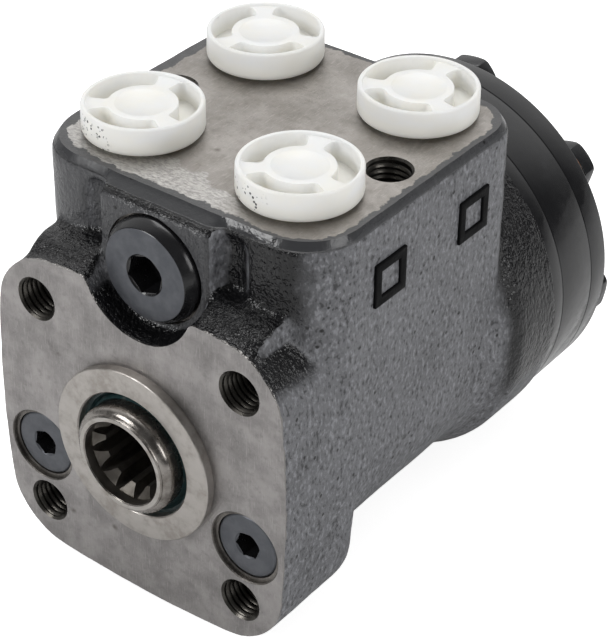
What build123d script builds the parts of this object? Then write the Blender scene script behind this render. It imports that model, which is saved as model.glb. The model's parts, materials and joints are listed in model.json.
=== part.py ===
from build123d import *

import math
import os

# Orbital steering unit, in millimetres.
# Origin: centre of the mounting flange's face, on the shaft's axis.
# +X to the right, +Y back into the unit, +Z up to the port face.

# ---- Mounting flange ----
FLANGE_HALF_WIDTH = 42.0
FLANGE_TOP = 41.5
FLANGE_BOTTOM = 41.5
FLANGE_CORNER = 13.0
FLANGE_BOW = 2.8
FLANGE_DEPTH = 30.5
FLANGE_REAR_CHAMFER = 5.0
BOLT_CIRCLE = 82.5
BOLT_DRILL = 4.25
BOLT_DEPTH = 18.0
PILOT_RADIUS = 22.2
PILOT_HEIGHT = 2.65

# ---- Port block ----
BLOCK_LEFT = -40.3
BLOCK_RIGHT = 42.0
BLOCK_FRONT = 11.0
BLOCK_REAR = 90.0
BLOCK_TOP = 62.3
BLOCK_FRONT_CORNER = 14.0
BLOCK_REAR_CORNER = 11.0
EDGE_BAND_WIDTH = 1.3
EDGE_BAND_HEIGHT = 2.3
PAD_HALF_WIDTH = 15.5
PAD_FRONT = 7.05
PAD_SLOPE = 3.1
PAD_DEPTH = 32.3
FLUTE_RADIUS = 3.6
FLUTE_X = 19.0
FLUTE_TAPER = 3.2
FLUTE_TIP = 1.0

# ---- Ports ----
PORT_X = 22.0
PORT_FRONT_Y = 30.2
PORT_REAR_Y = 74.75
PORT_DRILL = 9.4
PORT_MOUTH_CHAMFER = 1.2
PORT_DEPTH = 16.0
PORT_PASSAGE = 5.5
GALLERY_Z = 20.0
GALLERY_RADIUS = 4.0
GALLERY_REACH = 9.0
BRACKET_HOLE_MID_X = 1.2
BRACKET_HOLE_HALF_PITCH = 30.5
BRACKET_HOLE_Y = 49.8

# ---- Body and rear flange ----
BODY_RADIUS = 42.0
BODY_WALL_TOP = 20.0
BODY_SHOULDER = 36.0
FLARE_START = 70.0
CAST_FLANGE_START = 88.0
CAST_FLANGE_RADIUS = 46.8
CAST_REAR = 103.0
ROUND_RADIUS = 46.0

# ---- Gerotor set, plate and cover ----
PLATE_THICKNESS = 4.8
GEAR_WIDTH = 13.5
COVER_THICKNESS = 7.3
COVER_CHAMFER = 0.8
RING_LOBES = 7
LOBE_CIRCLE = 31.2
LOBE_RADIUS = 6.6
ECCENTRICITY = 2.8
GEAR_GAP = 0.08
ARCS_PER_LOBE = 10
STAR_SPLINE_ROOT = 9.95
STAR_SPLINE_TIP = 8.5
PLATE_BORE = 12.5
CHAMBER_CIRCLE = 26.2
CHAMBER_HOLE = 2.2
SCREW_CIRCLE = 38.0
SCREW_RADIUS = 3.95
SCREW_CLEARANCE = 4.4
SCREW_GRIP = 16.0
HEAD_FLATS = 13.0
HEAD_HEIGHT = 5.3
HEAD_TURN = 5.0
WASHER_THICKNESS = 1.0
WASHER_RADIUS = 6.9
PIN_SCREW_INDEX = 4
ROLLED_PIN_RADIUS = 1.25
SEAL_CORD = 0.8
SEAL_SQUEEZE = 0.1

# ---- Rotary valve ----
BORE_RADIUS = 19.0
SLEEVE_GAP = 0.03
SLEEVE_WALL = 3.92
SPOOL_GAP = 0.05
BEARING_SEAT = 6.4
RACE_FRONT_THICKNESS = 1.8
CAGE_THICKNESS = 1.0
NEEDLE_RADIUS = 0.85
NEEDLE_COUNT = 12
RACE_REAR_THICKNESS = 1.9
BEARING_GAP = 0.05
SLEEVE_STEP_END = 21.4
SLEEVE_STEP = 1.77
SPOOL_STEP = 1.2
SPOOL_TIP = -6.6
SPLINE_TEETH = 12
SPLINE_WALL = 3.13
SPLINE_HEIGHT = 1.97
SPLINE_START = -3.9
SPLINE_END = 14.5
SPOOL_WALL = 4.1
SPRING_Y = 18.0
SPRING_WIDTH = 3.8
LEAF_THICKNESS = 0.4
LEAF_BOW = 0.9
PIN_Y = 30.0
PIN_RADIUS = 4.0
PIN_END_GAP = 0.37
PIN_SLOT_WIDTH = 13.8
GROOVE_FIRST_Y = 41.0
GROOVE_PITCH = 11.0
GROOVE_COUNT = 4
GROOVE_DEPTH = 3.6
GROOVE_WIDTH = 5.0
SLEEVE_GROOVE_DEPTH = 0.9
SLEEVE_GROOVE_WIDTH = 3.6
SLEEVE_SLOT_HALF = 2.8
SPOOL_SLOT_HALF = 2.6
SPOOL_GROOVE_DEPTH = 1.1
SPOOL_GROOVE_LENGTH = 28.0
SPOOL_GROOVE_WIDTH = 3.2
DOME_START = -2.2
FEED_HOLE = 1.6
SEAL_LIP_GAP = 0.05
DUST_SEAT_WIDTH = 2.2
DUST_SEAT_END = 1.6
SHAFT_SEAL_START = 2.4
SHAFT_SEAL_END = 5.4
SHAFT_SEAL_WIDTH = 3.8

# ---- Drive shaft ----
FORK_GAP = 1.3
FORK_WALL = 2.2
FORK_FRONT = 23.5
FORK_REAR = 38.0
SHAFT_TEETH = 12
HEAD_ROOT = 8.0
HEAD_TIP = 9.5
HEAD_CROWN = 10.3

# ---- Relief valve ----
RELIEF_Z = 45.4
RELIEF_FACE = 3.9
RELIEF_HEAD_RADIUS = 12.75
RELIEF_FACE_RADIUS = 11.2
RELIEF_SEAT_Y = 8.3
RELIEF_THREAD = 9.0
RELIEF_PLUG_END = 19.0
RELIEF_CHAMBER = 6.2
RELIEF_CHAMBER_START = 24.0
RELIEF_CHAMBER_END = 52.0
RELIEF_OUTLET = 3.0
RELIEF_SOCKET = 10.0
RELIEF_SOCKET_DEPTH = 6.5
RELIEF_SEAT_THICKNESS = 1.3
SCALLOP_X = 0.75
SCALLOP_Z = 46.1
SCALLOP_RADIUS = 15.6

# ---- Shock valves ----
SHOCK_X = 30.5
SHOCK_Z = -13.1
SHOCK_RADIUS = 8.3
SHOCK_RECESS = 9.3
SHOCK_FACE = 1.0
SHOCK_PLUG_END = 12.0
SHOCK_SOCKET = 6.0
SHOCK_SOCKET_DEPTH = 5.0
SHOCK_CHAMBER = 6.0
SHOCK_CHAMBER_START = 13.0
SHOCK_CHAMBER_END = 37.0
SHOCK_OUTLET = 2.6
SHOCK_SEAT_THICKNESS = 2.3
SHOCK_SEAT_HOLE = 2.2
SHOCK_BALL = 4.0

# ---- Check valve ----
CHECK_BUSHING_DEPTH = 6.0
CHECK_BUSHING_HOLE = 2.0

# ---- Port caps ----
CAP_RADIUS = 14.04
CAP_GAP = 0.6
CAP_HEIGHT = 6.8
CAP_WALL = 1.2
CAP_HUB = 8.0
CAP_WEBS = 3
CAP_WEB_ANGLE = 24
CAP_RECESS = 5.2
CAP_HUB_DROP = 0.7
CAP_PLUG_LENGTH = 9.0
CAP_PLUG_WALL = 1.4

# ---- Clearances ----
THREAD_GAP = 0.02
SEAT_GAP = 0.1
CHECK_SEAT_GAP = 0.043

LONG = 60.0
LOW = (Align.CENTER, Align.CENTER, Align.MIN)
HIGH = (Align.CENTER, Align.CENTER, Align.MAX)

# ---- What follows from these ----
GEAR_FRONT = CAST_REAR + PLATE_THICKNESS
GEAR_REAR = GEAR_FRONT + GEAR_WIDTH
COVER_REAR = GEAR_REAR + COVER_THICKNESS
SCREW_REACH = CAST_REAR - SCREW_GRIP
HEAD_FRONT = GEAR_FRONT + 1.4
HEAD_REAR = GEAR_REAR - 3.9
ROTOR_Y = (HEAD_FRONT + HEAD_REAR) / 2
TILT = math.degrees(math.atan2(ECCENTRICITY, ROTOR_Y - PIN_Y))
POCKET_RADIUS = LOBE_CIRCLE + 2 * ECCENTRICITY - LOBE_RADIUS + GEAR_GAP
SEAL_CIRCLE = (POCKET_RADIUS + SCREW_CIRCLE - SCREW_CLEARANCE) / 2
SLEEVE_RADIUS = BORE_RADIUS - SLEEVE_GAP
SLEEVE_INNER = SLEEVE_RADIUS - SLEEVE_WALL
SLEEVE_STEP_RADIUS = SLEEVE_RADIUS - SLEEVE_STEP
SLEEVE_REAR = CAST_REAR - SEAT_GAP
SPOOL_RADIUS = SLEEVE_INNER - SPOOL_GAP
SPOOL_NECK = SPOOL_RADIUS - SPOOL_STEP
SPOOL_BORE = SPOOL_RADIUS - SPOOL_WALL
SPOOL_REAR = CAST_REAR - 1.5
SPLINE_ROOT = SPOOL_NECK - SPLINE_WALL
SPLINE_TIP = SPLINE_ROOT - SPLINE_HEIGHT
PILOT_BORE = SPOOL_NECK + DUST_SEAT_WIDTH
FORK_RADIUS = SPOOL_BORE - FORK_GAP
SHAFT_RADIUS = FORK_RADIUS - FORK_WALL
CAGE_START = BEARING_SEAT + RACE_FRONT_THICKNESS + NEEDLE_RADIUS + BEARING_GAP - CAGE_THICKNESS / 2
RACE_REAR_START = BEARING_SEAT + RACE_FRONT_THICKNESS + 2 * NEEDLE_RADIUS + 2 * BEARING_GAP
SLEEVE_FRONT = RACE_REAR_START + RACE_REAR_THICKNESS + SEAT_GAP
CHECK_CIRCLE = (BORE_RADIUS + SEAL_CIRCLE - SEAL_CORD) / 2
CHECK_RADIUS = (SEAL_CIRCLE - SEAL_CORD - BORE_RADIUS) / 2 - 1.5
CHECK_START = CAST_REAR - 17
CAP_BASE = BLOCK_TOP + CAP_GAP
CAP_TOP = CAP_BASE + CAP_HEIGHT
BOLT_OFFSET = BOLT_CIRCLE / 2 * math.sin(math.radians(45))
GROOVES_Y = [GROOVE_FIRST_Y + GROOVE_PITCH * i for i in range(GROOVE_COUNT)]
SCREW_ANGLES = [90 + 360 / RING_LOBES * i for i in range(RING_LOBES)]
POCKET_ANGLES = [angle + 180 / RING_LOBES for angle in SCREW_ANGLES]


# ---- Shapes along the shaft's axis ----
def prism(face, start, end):
    """Extrude a face drawn as (x, z) from y = start to y = end."""
    return extrude(Plane.XZ.offset(-start) * face, amount=start - end)


def rod(radius, start, end, x=0, z=0):
    """A round bar along Y."""
    return prism(Pos(x, z) * Circle(radius), start, end)


def tube(outer, inner, start, end, x=0, z=0):
    """A round tube along Y."""
    return prism(Pos(x, z) * (Circle(outer) - Circle(inner)), start, end)


def turned(*points):
    """A body turned about the Y axis from (radius, y) points."""
    return revolve(make_face(Polyline(*points, close=True)), Axis.Y)


def upright(radius, bottom, top, x=0, y=0):
    """A round bar along Z."""
    return extrude(Pos(x, y, bottom) * Circle(radius), amount=top - bottom)


def on_circle(radius, angle):
    """The (x, z) point at an angle from +X towards +Z."""
    turn = math.radians(angle)
    return radius * math.cos(turn), radius * math.sin(turn)


def hexagon(flats):
    """A regular hexagon by its width across flats."""
    return RegularPolygon(flats / math.sqrt(3), 6)


def spline_section(root, tip, count, root_share, tip_share):
    """A toothed outline: teeth reach from the root radius to the tip radius."""
    pitch = 360 / count
    flank = ((root, -root_share), (tip, -tip_share), (tip, tip_share), (root, root_share))
    points = []
    for i in range(count):
        for radius, share in flank:
            points.append(on_circle(radius, pitch * (i + share / 2)))
    return make_face(Polyline(*points, close=True))


def coil_spring(outer, wire, start, end, x, z):
    """A coil spring along Y, drawn as the sleeve that its coils fill."""
    return tube(outer, outer - wire, start, end, x, z)


# ---- Housing ----
def flange_outline():
    """The flange's face: a square with bowed sides and round corners."""
    side = FLANGE_HALF_WIDTH - FLANGE_BOW
    top = FLANGE_TOP - FLANGE_BOW
    bottom = -FLANGE_BOTTOM + FLANGE_BOW
    sides = [
        ThreePointArc((side, bottom), (FLANGE_HALF_WIDTH, 0), (side, top)),
        ThreePointArc((side, top), (0, FLANGE_TOP), (-side, top)),
        ThreePointArc((-side, top), (-FLANGE_HALF_WIDTH, 0), (-side, bottom)),
        ThreePointArc((-side, bottom), (0, -FLANGE_BOTTOM), (side, bottom)),
    ]
    face = make_face(Curve() + sides)
    return fillet(face.vertices(), FLANGE_CORNER)


def flange():
    block = prism(flange_outline(), 0, FLANGE_DEPTH)
    rear = block.faces().sort_by(Axis.Y)[-1]
    return chamfer(rear.edges(), FLANGE_REAR_CHAMFER)


def body_outline():
    """The body behind the flange: a U whose walls rise into the port block."""
    arc = ThreePointArc((BLOCK_RIGHT, 0), (0, -BODY_RADIUS), (-BODY_RADIUS, 0))
    walls = Polyline(
        (-BODY_RADIUS, 0), (-BODY_RADIUS, BODY_WALL_TOP), (BLOCK_LEFT, BODY_SHOULDER),
        (BLOCK_RIGHT, BODY_SHOULDER), (BLOCK_RIGHT, 0),
    )
    return make_face(arc + walls)


def block_outline():
    """The port block seen from above, with two sizes of round corner."""
    width = BLOCK_RIGHT - BLOCK_LEFT
    depth = BLOCK_REAR - BLOCK_FRONT
    middle = ((BLOCK_LEFT + BLOCK_RIGHT) / 2, (BLOCK_FRONT + BLOCK_REAR) / 2)
    plan = Pos(*middle) * Rectangle(width, depth)
    plan = fillet(plan.vertices().group_by(Axis.Y)[0], BLOCK_FRONT_CORNER)
    return fillet(plan.vertices().group_by(Axis.Y)[-1], BLOCK_REAR_CORNER)


def port_block():
    """The block's walls, topped by the sloped band round the machined face."""
    band_bottom = BLOCK_TOP - EDGE_BAND_HEIGHT
    slope = math.degrees(math.atan2(EDGE_BAND_WIDTH, EDGE_BAND_HEIGHT))
    outline = block_outline()
    walls = extrude(outline, amount=band_bottom)
    band = extrude(Pos(0, 0, band_bottom) * outline, amount=EDGE_BAND_HEIGHT, taper=slope)
    return walls + band


def front_pad():
    """The raised pad above the relief valve, sloped back to the port face."""
    face_edge = BLOCK_FRONT + EDGE_BAND_WIDTH
    back = face_edge + EDGE_BAND_WIDTH
    bottom = BLOCK_TOP - PAD_DEPTH
    side = Polyline(
        (PAD_FRONT, bottom), (PAD_FRONT, BLOCK_TOP - PAD_SLOPE), (face_edge, BLOCK_TOP),
        (back, BLOCK_TOP), (back, bottom), close=True,
    )
    profile = Plane.YZ.offset(-PAD_HALF_WIDTH) * make_face(side)
    return extrude(profile, amount=2 * PAD_HALF_WIDTH)


def side_flutes():
    """The flutes down both sides of the pad, each with a sloped top."""
    top = BLOCK_TOP - EDGE_BAND_HEIGHT - FLUTE_TAPER
    flutes = []
    for x in (-FLUTE_X, FLUTE_X):
        flute = upright(FLUTE_RADIUS, FLANGE_TOP, top, x, BLOCK_FRONT)
        flutes.append(flute)
        flutes.append(Pos(x, BLOCK_FRONT, top) * Cone(FLUTE_RADIUS, FLUTE_TIP, FLUTE_TAPER, align=LOW))
    return flutes


def rear_flange():
    """The body's flare out to the round rear flange."""
    return turned(
        (0, FLARE_START), (BODY_RADIUS, FLARE_START), (CAST_FLANGE_RADIUS, CAST_FLANGE_START),
        (CAST_FLANGE_RADIUS, CAST_REAR), (0, CAST_REAR),
    )


def valve_bore():
    """The housing's centre bore: seal grooves, bearing seat, sleeve bore and its grooves."""
    mouth = -PILOT_HEIGHT
    land = SPOOL_NECK + 0.4
    seal = land + SHAFT_SEAL_WIDTH - 0.4
    front = turned(
        (0, mouth - 1), (PILOT_BORE, mouth - 1), (PILOT_BORE, DUST_SEAT_END), (land, DUST_SEAT_END),
        (land, SHAFT_SEAL_START), (seal, SHAFT_SEAL_START), (seal, SHAFT_SEAL_END),
        (land, SHAFT_SEAL_END), (land, BEARING_SEAT), (0, BEARING_SEAT),
    )
    bore = front + rod(BORE_RADIUS, BEARING_SEAT, CAST_REAR + 1)
    for y in GROOVES_Y:
        bore += rod(BORE_RADIUS + GROOVE_DEPTH, y - GROOVE_WIDTH / 2, y + GROOVE_WIDTH / 2)
    return bore


def port_bore(side, port_y, groove_y):
    """A port and the passage that leads from it to its groove in the bore."""
    x = side * PORT_X
    floor = BLOCK_TOP - PORT_DEPTH
    bore = upright(PORT_DRILL, floor, BLOCK_TOP + 1, x, port_y)
    mouth = Cone(PORT_DRILL, PORT_DRILL + PORT_MOUTH_CHAMFER, PORT_MOUTH_CHAMFER, align=HIGH)
    bore += Pos(x, port_y, BLOCK_TOP) * mouth
    bore += upright(PORT_PASSAGE, GALLERY_Z, floor, x, port_y)
    bore += upright(GALLERY_RADIUS, GALLERY_REACH, GALLERY_Z, x, groove_y)
    ends = sorted((port_y, groove_y))
    return bore + rod(GALLERY_RADIUS, *ends, x, GALLERY_Z)


def port_bores():
    return [
        port_bore(-1, PORT_FRONT_Y, GROOVES_Y[0]),
        port_bore(1, PORT_FRONT_Y, GROOVES_Y[1]),
        port_bore(-1, PORT_REAR_Y, GROOVES_Y[2]),
        port_bore(1, PORT_REAR_Y, GROOVES_Y[3]),
    ]


def flange_holes():
    """The four threaded holes for the steering column."""
    corners = [(x, z) for x in (-BOLT_OFFSET, BOLT_OFFSET) for z in (-BOLT_OFFSET, BOLT_OFFSET)]
    return [rod(BOLT_DRILL, -1, BOLT_DEPTH, x, z) for x, z in corners]


def bracket_holes():
    """The two threaded holes in the port face."""
    holes = []
    for side in (-1, 1):
        x = BRACKET_HOLE_MID_X + side * BRACKET_HOLE_HALF_PITCH
        holes.append(upright(BOLT_DRILL, BLOCK_TOP - BOLT_DEPTH, BLOCK_TOP + 1, x, BRACKET_HOLE_Y))
    return holes


def relief_bore():
    """The relief valve's stepped bore and the cast scallop in front of it."""
    scallop = rod(SCALLOP_RADIUS, -1, PAD_FRONT, SCALLOP_X, SCALLOP_Z)
    steps = rod(RELIEF_HEAD_RADIUS + 6 * SEAT_GAP, PAD_FRONT - 0.1, RELIEF_SEAT_Y, 0, RELIEF_Z)
    steps += rod(RELIEF_THREAD + THREAD_GAP, RELIEF_SEAT_Y, RELIEF_CHAMBER_START, 0, RELIEF_Z)
    steps += rod(RELIEF_CHAMBER, RELIEF_CHAMBER_START, RELIEF_CHAMBER_END, 0, RELIEF_Z)
    outlet = rod(RELIEF_OUTLET, RELIEF_CHAMBER_END, RELIEF_CHAMBER_END + 6, 0, RELIEF_Z)
    return scallop + steps + outlet


def shock_bore(side):
    """A shock valve's stepped bore with its recess in the flange's face."""
    x = side * SHOCK_X
    bore = rod(SHOCK_RECESS, -1, SHOCK_FACE, x, SHOCK_Z)
    bore += rod(SHOCK_RADIUS + THREAD_GAP, SHOCK_FACE, SHOCK_CHAMBER_START, x, SHOCK_Z)
    bore += rod(SHOCK_CHAMBER, SHOCK_CHAMBER_START, SHOCK_CHAMBER_END, x, SHOCK_Z)
    return bore + rod(SHOCK_OUTLET, SHOCK_CHAMBER_END, SHOCK_CHAMBER_END + 7, x, SHOCK_Z)


def rear_holes():
    """Screw threads, chamber ports and the check valve's bore in the rear face."""
    holes = []
    for angle in SCREW_ANGLES:
        x, z = on_circle(SCREW_CIRCLE, angle)
        holes.append(rod(SCREW_RADIUS + SPOOL_GAP, SCREW_REACH - 2, CAST_REAR + 1, x, z))
    x, z = on_circle(CHECK_CIRCLE, SCREW_ANGLES[PIN_SCREW_INDEX])
    holes.append(rod(CHECK_RADIUS, CHECK_START, CAST_REAR + 1, x, z))
    holes.append(seal_groove(CAST_REAR - 2 * SEAL_CORD + SEAL_SQUEEZE, CAST_REAR + 1))
    return holes


def seal_groove(start, end):
    """The groove that an O-ring lies in."""
    return tube(SEAL_CIRCLE + SEAL_CORD, SEAL_CIRCLE - SEAL_CORD, start, end)


def valve_housing():
    body = flange() + prism(body_outline(), FLANGE_DEPTH - 8, FLARE_START + 15)
    body += port_block()
    body += front_pad()
    body += rear_flange()
    body += rod(PILOT_RADIUS, -PILOT_HEIGHT, 1)
    cuts = side_flutes() + [relief_bore(), shock_bore(-1), shock_bore(1), valve_bore()]
    cuts += port_bores() + flange_holes() + bracket_holes() + rear_holes()
    return body - cuts


# ---- Gerotor set, plate and cover ----
def ring_pockets():
    """The opening in the gear ring: a circle with seven round lobes standing into it."""
    pocket = Circle(POCKET_RADIUS)
    for angle in SCREW_ANGLES:
        pocket -= Pos(*on_circle(LOBE_CIRCLE, angle)) * Circle(LOBE_RADIUS)
    return pocket


def screw_holes(start, end):
    """The seven clearance holes for the cover screws."""
    places = [on_circle(SCREW_CIRCLE, angle) for angle in SCREW_ANGLES]
    return [rod(SCREW_CLEARANCE, start, end, x, z) for x, z in places]


def distributor_plate():
    plate = tube(ROUND_RADIUS, PLATE_BORE, CAST_REAR, GEAR_FRONT)
    places = [on_circle(CHAMBER_CIRCLE, angle) for angle in POCKET_ANGLES]
    ports = [rod(CHAMBER_HOLE, CAST_REAR, GEAR_FRONT, x, z) for x, z in places]
    groove = seal_groove(GEAR_FRONT - 2 * SEAL_CORD + SEAL_SQUEEZE, GEAR_FRONT)
    return plate - ports - screw_holes(CAST_REAR, GEAR_FRONT) - groove


def gear_ring():
    ring = prism(Circle(ROUND_RADIUS) - ring_pockets(), GEAR_FRONT, GEAR_REAR)
    return ring - screw_holes(GEAR_FRONT, GEAR_REAR)


def rotor_point(turn):
    """A point of the star's outline, one lobe radius inside the path of the ring's lobe centres."""
    lobes = RING_LOBES
    offset = LOBE_RADIUS + GEAR_GAP
    x = LOBE_CIRCLE * math.cos(turn) - ECCENTRICITY * math.cos(lobes * turn)
    z = LOBE_CIRCLE * math.sin(turn) - ECCENTRICITY * math.sin(lobes * turn)
    dx = -LOBE_CIRCLE * math.sin(turn) + lobes * ECCENTRICITY * math.sin(lobes * turn)
    dz = LOBE_CIRCLE * math.cos(turn) - lobes * ECCENTRICITY * math.cos(lobes * turn)
    length = math.hypot(dx, dz)
    return x - offset * dz / length, z + offset * dx / length


def gear_rotor():
    """The six-lobed star, displaced upwards, with the internal spline for the drive shaft."""
    arcs = ARCS_PER_LOBE * (RING_LOBES - 1)
    points = [rotor_point(math.pi * i / arcs) for i in range(2 * arcs)]
    outline = Curve()
    for i in range(0, 2 * arcs, 2):
        outline += ThreePointArc(points[i], points[i + 1], points[(i + 2) % (2 * arcs)])
    socket = spline_section(STAR_SPLINE_ROOT, STAR_SPLINE_TIP, SHAFT_TEETH, 0.62, 0.36)
    section = Pos(0, ECCENTRICITY) * Rot(0, 0, 90) * (make_face(outline) - socket)
    return prism(section, GEAR_FRONT + GEAR_GAP, GEAR_REAR - GEAR_GAP)


def end_cover():
    cover = turned(
        (0, GEAR_REAR), (ROUND_RADIUS, GEAR_REAR), (ROUND_RADIUS, COVER_REAR - COVER_CHAMFER),
        (ROUND_RADIUS - COVER_CHAMFER, COVER_REAR), (0, COVER_REAR),
    )
    groove = seal_groove(GEAR_REAR, GEAR_REAR + 2 * SEAL_CORD - SEAL_SQUEEZE)
    return cover - screw_holes(GEAR_REAR, COVER_REAR) - groove


def hex_screw(angle, reach):
    """A cover screw: hexagon head with a chamfered top, and a plain shank."""
    x, z = on_circle(SCREW_CIRCLE, angle)
    seat = COVER_REAR + WASHER_THICKNESS
    top = seat + HEAD_HEIGHT
    head = prism(Pos(x, z) * Rot(0, 0, angle + HEAD_TURN) * hexagon(HEAD_FLATS), seat, top)
    crown_top = HEAD_FLATS / 2 - 0.3
    crown = Cone(crown_top + 2 * HEAD_HEIGHT, crown_top, HEAD_HEIGHT, align=HIGH)
    crown = Pos(x, top, z) * Rot(-90, 0, 0) * crown
    return (head & crown) + rod(SCREW_RADIUS, reach, seat, x, z)


def cover_screws():
    angles = SCREW_ANGLES[:PIN_SCREW_INDEX] + SCREW_ANGLES[PIN_SCREW_INDEX + 1:]
    return Compound([hex_screw(angle, SCREW_REACH) for angle in angles])


def pin_screw():
    """The special screw, with a rolled pin in its end."""
    angle = SCREW_ANGLES[PIN_SCREW_INDEX]
    x, z = on_circle(SCREW_CIRCLE, angle)
    pin = rod(ROLLED_PIN_RADIUS, SCREW_REACH - 1.8, SCREW_REACH + 2, x, z)
    return hex_screw(angle, SCREW_REACH) + pin


def cover_washers():
    washers = []
    for angle in SCREW_ANGLES:
        x, z = on_circle(SCREW_CIRCLE, angle)
        back = COVER_REAR + WASHER_THICKNESS
        washers.append(tube(WASHER_RADIUS, SCREW_CLEARANCE, COVER_REAR, back, x, z))
    return Compound(washers)


def o_ring(start, end):
    """An O-ring pressed flat in its groove."""
    cord = SEAL_CORD - SPOOL_GAP
    return tube(SEAL_CIRCLE + cord, SEAL_CIRCLE - cord, start + SPOOL_GAP, end - SPOOL_GAP)


# ---- Rotary valve ----
def dust_seal():
    """A rubber ring with a lip that bears on the spool's neck."""
    lip = SPOOL_NECK + SEAL_LIP_GAP
    return turned(
        (PILOT_BORE, DUST_SEAT_END), (PILOT_BORE, -0.4), (PILOT_BORE - 0.8, -0.4),
        (PILOT_BORE - 1.4, 0.4), (lip, -1.0), (lip, 1.0), (lip + 0.6, DUST_SEAT_END),
    )


def shaft_seal():
    """A flat sliding ring on the neck, pressed by the elastic ring round it."""
    lip = SPOOL_NECK + SEAL_LIP_GAP
    outer = SPOOL_NECK + SHAFT_SEAL_WIDTH - SEAL_LIP_GAP
    return tube(outer, lip, SHAFT_SEAL_START + SEAL_LIP_GAP, SHAFT_SEAL_END - SEAL_LIP_GAP)


def thrust_race(start, thickness):
    return tube(SLEEVE_RADIUS - SPOOL_GAP, SPOOL_NECK + 0.4, start, start + thickness)


def thrust_cage():
    """The flat cage of the thrust bearing, with its radial needles."""
    inner = SPOOL_NECK + 0.5
    outer = SLEEVE_RADIUS - 0.4
    cage = tube(outer, inner, CAGE_START, CAGE_START + CAGE_THICKNESS)
    middle = (inner + outer) / 2
    lift = CAGE_START + CAGE_THICKNESS / 2
    length = outer - inner - 0.9
    needles = []
    for i in range(NEEDLE_COUNT):
        needle = Rot(0, 90, 0) * Cylinder(NEEDLE_RADIUS, length)
        needles.append(Rot(0, 360 / NEEDLE_COUNT * i, 0) * Pos(middle, lift, 0) * needle)
    return cage + needles


def spring_slot(half_width):
    """The slot across spool and sleeve that the leaf springs lie in, upright."""
    return Pos(0, SPRING_Y, 0) * Box(2 * half_width, SPRING_WIDTH + 2 * SEAT_GAP, 4 * BORE_RADIUS)


def feed_holes(inner, outer):
    """Rows of radial holes, one row to each groove of the housing."""
    holes = []
    for row, y in enumerate(GROOVES_Y):
        for i in range(4):
            angle = 90 * i + 45 * (row % 2)
            length = outer - inner
            drill = Pos((inner + outer) / 2, 0, 0) * Rot(0, 90, 0) * Cylinder(FEED_HOLE, length)
            holes.append(Pos(0, y, 0) * Rot(0, angle, 0) * drill)
    return holes


def valve_sleeve():
    """The outer valve part: stepped front, grooves round it and rows of holes."""
    sleeve = tube(SLEEVE_RADIUS, SLEEVE_INNER, SLEEVE_STEP_END, SLEEVE_REAR)
    sleeve += tube(SLEEVE_STEP_RADIUS, SLEEVE_INNER, SLEEVE_FRONT, SLEEVE_STEP_END)
    half, floor = SLEEVE_GROOVE_WIDTH / 2, SLEEVE_RADIUS - SLEEVE_GROOVE_DEPTH
    grooves = [tube(SLEEVE_RADIUS + 1, floor, y - half, y + half) for y in GROOVES_Y]
    pin_hole = across(PIN_RADIUS + THREAD_GAP, 4 * BORE_RADIUS)
    cuts = grooves + [pin_hole, spring_slot(SLEEVE_SLOT_HALF)]
    return sleeve - cuts - feed_holes(SLEEVE_INNER - 1, SLEEVE_RADIUS + 1)


def valve_spool():
    """The inner valve part: domed and splined front end, slots and long grooves."""
    neck_end = RACE_REAR_START + RACE_REAR_THICKNESS + 3 * SEAT_GAP
    tip_radius = SPOOL_NECK - 1.9
    lead = 0.15
    outline = Curve() + [
        Line((SPLINE_ROOT + lead, SPOOL_TIP), (tip_radius, SPOOL_TIP)),
        ThreePointArc((tip_radius, SPOOL_TIP), (SPOOL_NECK - 0.8, -5.0), (SPOOL_NECK, DOME_START)),
        Polyline(
            (SPOOL_NECK, DOME_START), (SPOOL_NECK, neck_end), (SPOOL_RADIUS, neck_end),
            (SPOOL_RADIUS, SPOOL_REAR), (SPOOL_BORE, SPOOL_REAR), (SPOOL_BORE, SPLINE_END),
            (SPLINE_ROOT, SPLINE_END), (SPLINE_ROOT, SPOOL_TIP + 0.4),
            (SPLINE_ROOT + lead, SPOOL_TIP),
        ),
    ]
    spool = revolve(make_face(outline), Axis.Y)
    socket = spline_section(SPLINE_TIP, SPLINE_ROOT + 0.3, SPLINE_TEETH, 0.72, 0.26)
    teeth = prism(Circle(SPLINE_ROOT + 0.1) - socket, SPLINE_START, SPLINE_END)
    slot = Box(4 * BORE_RADIUS, 2 * PIN_RADIUS + 2 * SEAT_GAP, PIN_SLOT_WIDTH)
    cuts = [Pos(0, PIN_Y, 0) * slot, spring_slot(SPOOL_SLOT_HALF)]
    groove = Box(2 * SPOOL_GROOVE_DEPTH, SPOOL_GROOVE_LENGTH, SPOOL_GROOVE_WIDTH)
    groove = Pos(SPOOL_RADIUS, (GROOVES_Y[0] + GROOVES_Y[-1]) / 2, 0) * groove
    for i in range(6):
        cuts.append(Rot(0, 60 * i + 30, 0) * groove)
    return spool + teeth - cuts


def across(radius, length):
    """A round bar along X at the cross pin's place."""
    return Pos(0, PIN_Y, 0) * Rot(0, 90, 0) * Cylinder(radius, length)


def cross_pin():
    return across(PIN_RADIUS, 2 * (SLEEVE_RADIUS - PIN_END_GAP))


def bowed_leaf(start):
    """A leaf spring standing upright whose middle is bowed towards the axis."""
    half = SLEEVE_STEP_RADIUS - 0.2
    middle = start - LEAF_BOW
    inner = ThreePointArc((start, -half), (middle, 0), (start, half))
    back = start + LEAF_THICKNESS
    outer = ThreePointArc((back, half), (middle + LEAF_THICKNESS, 0), (back, -half))
    ends = [Line((start, half), (back, half)), Line((back, -half), (start, -half))]
    return make_face(Curve() + [inner, outer] + ends)


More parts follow.
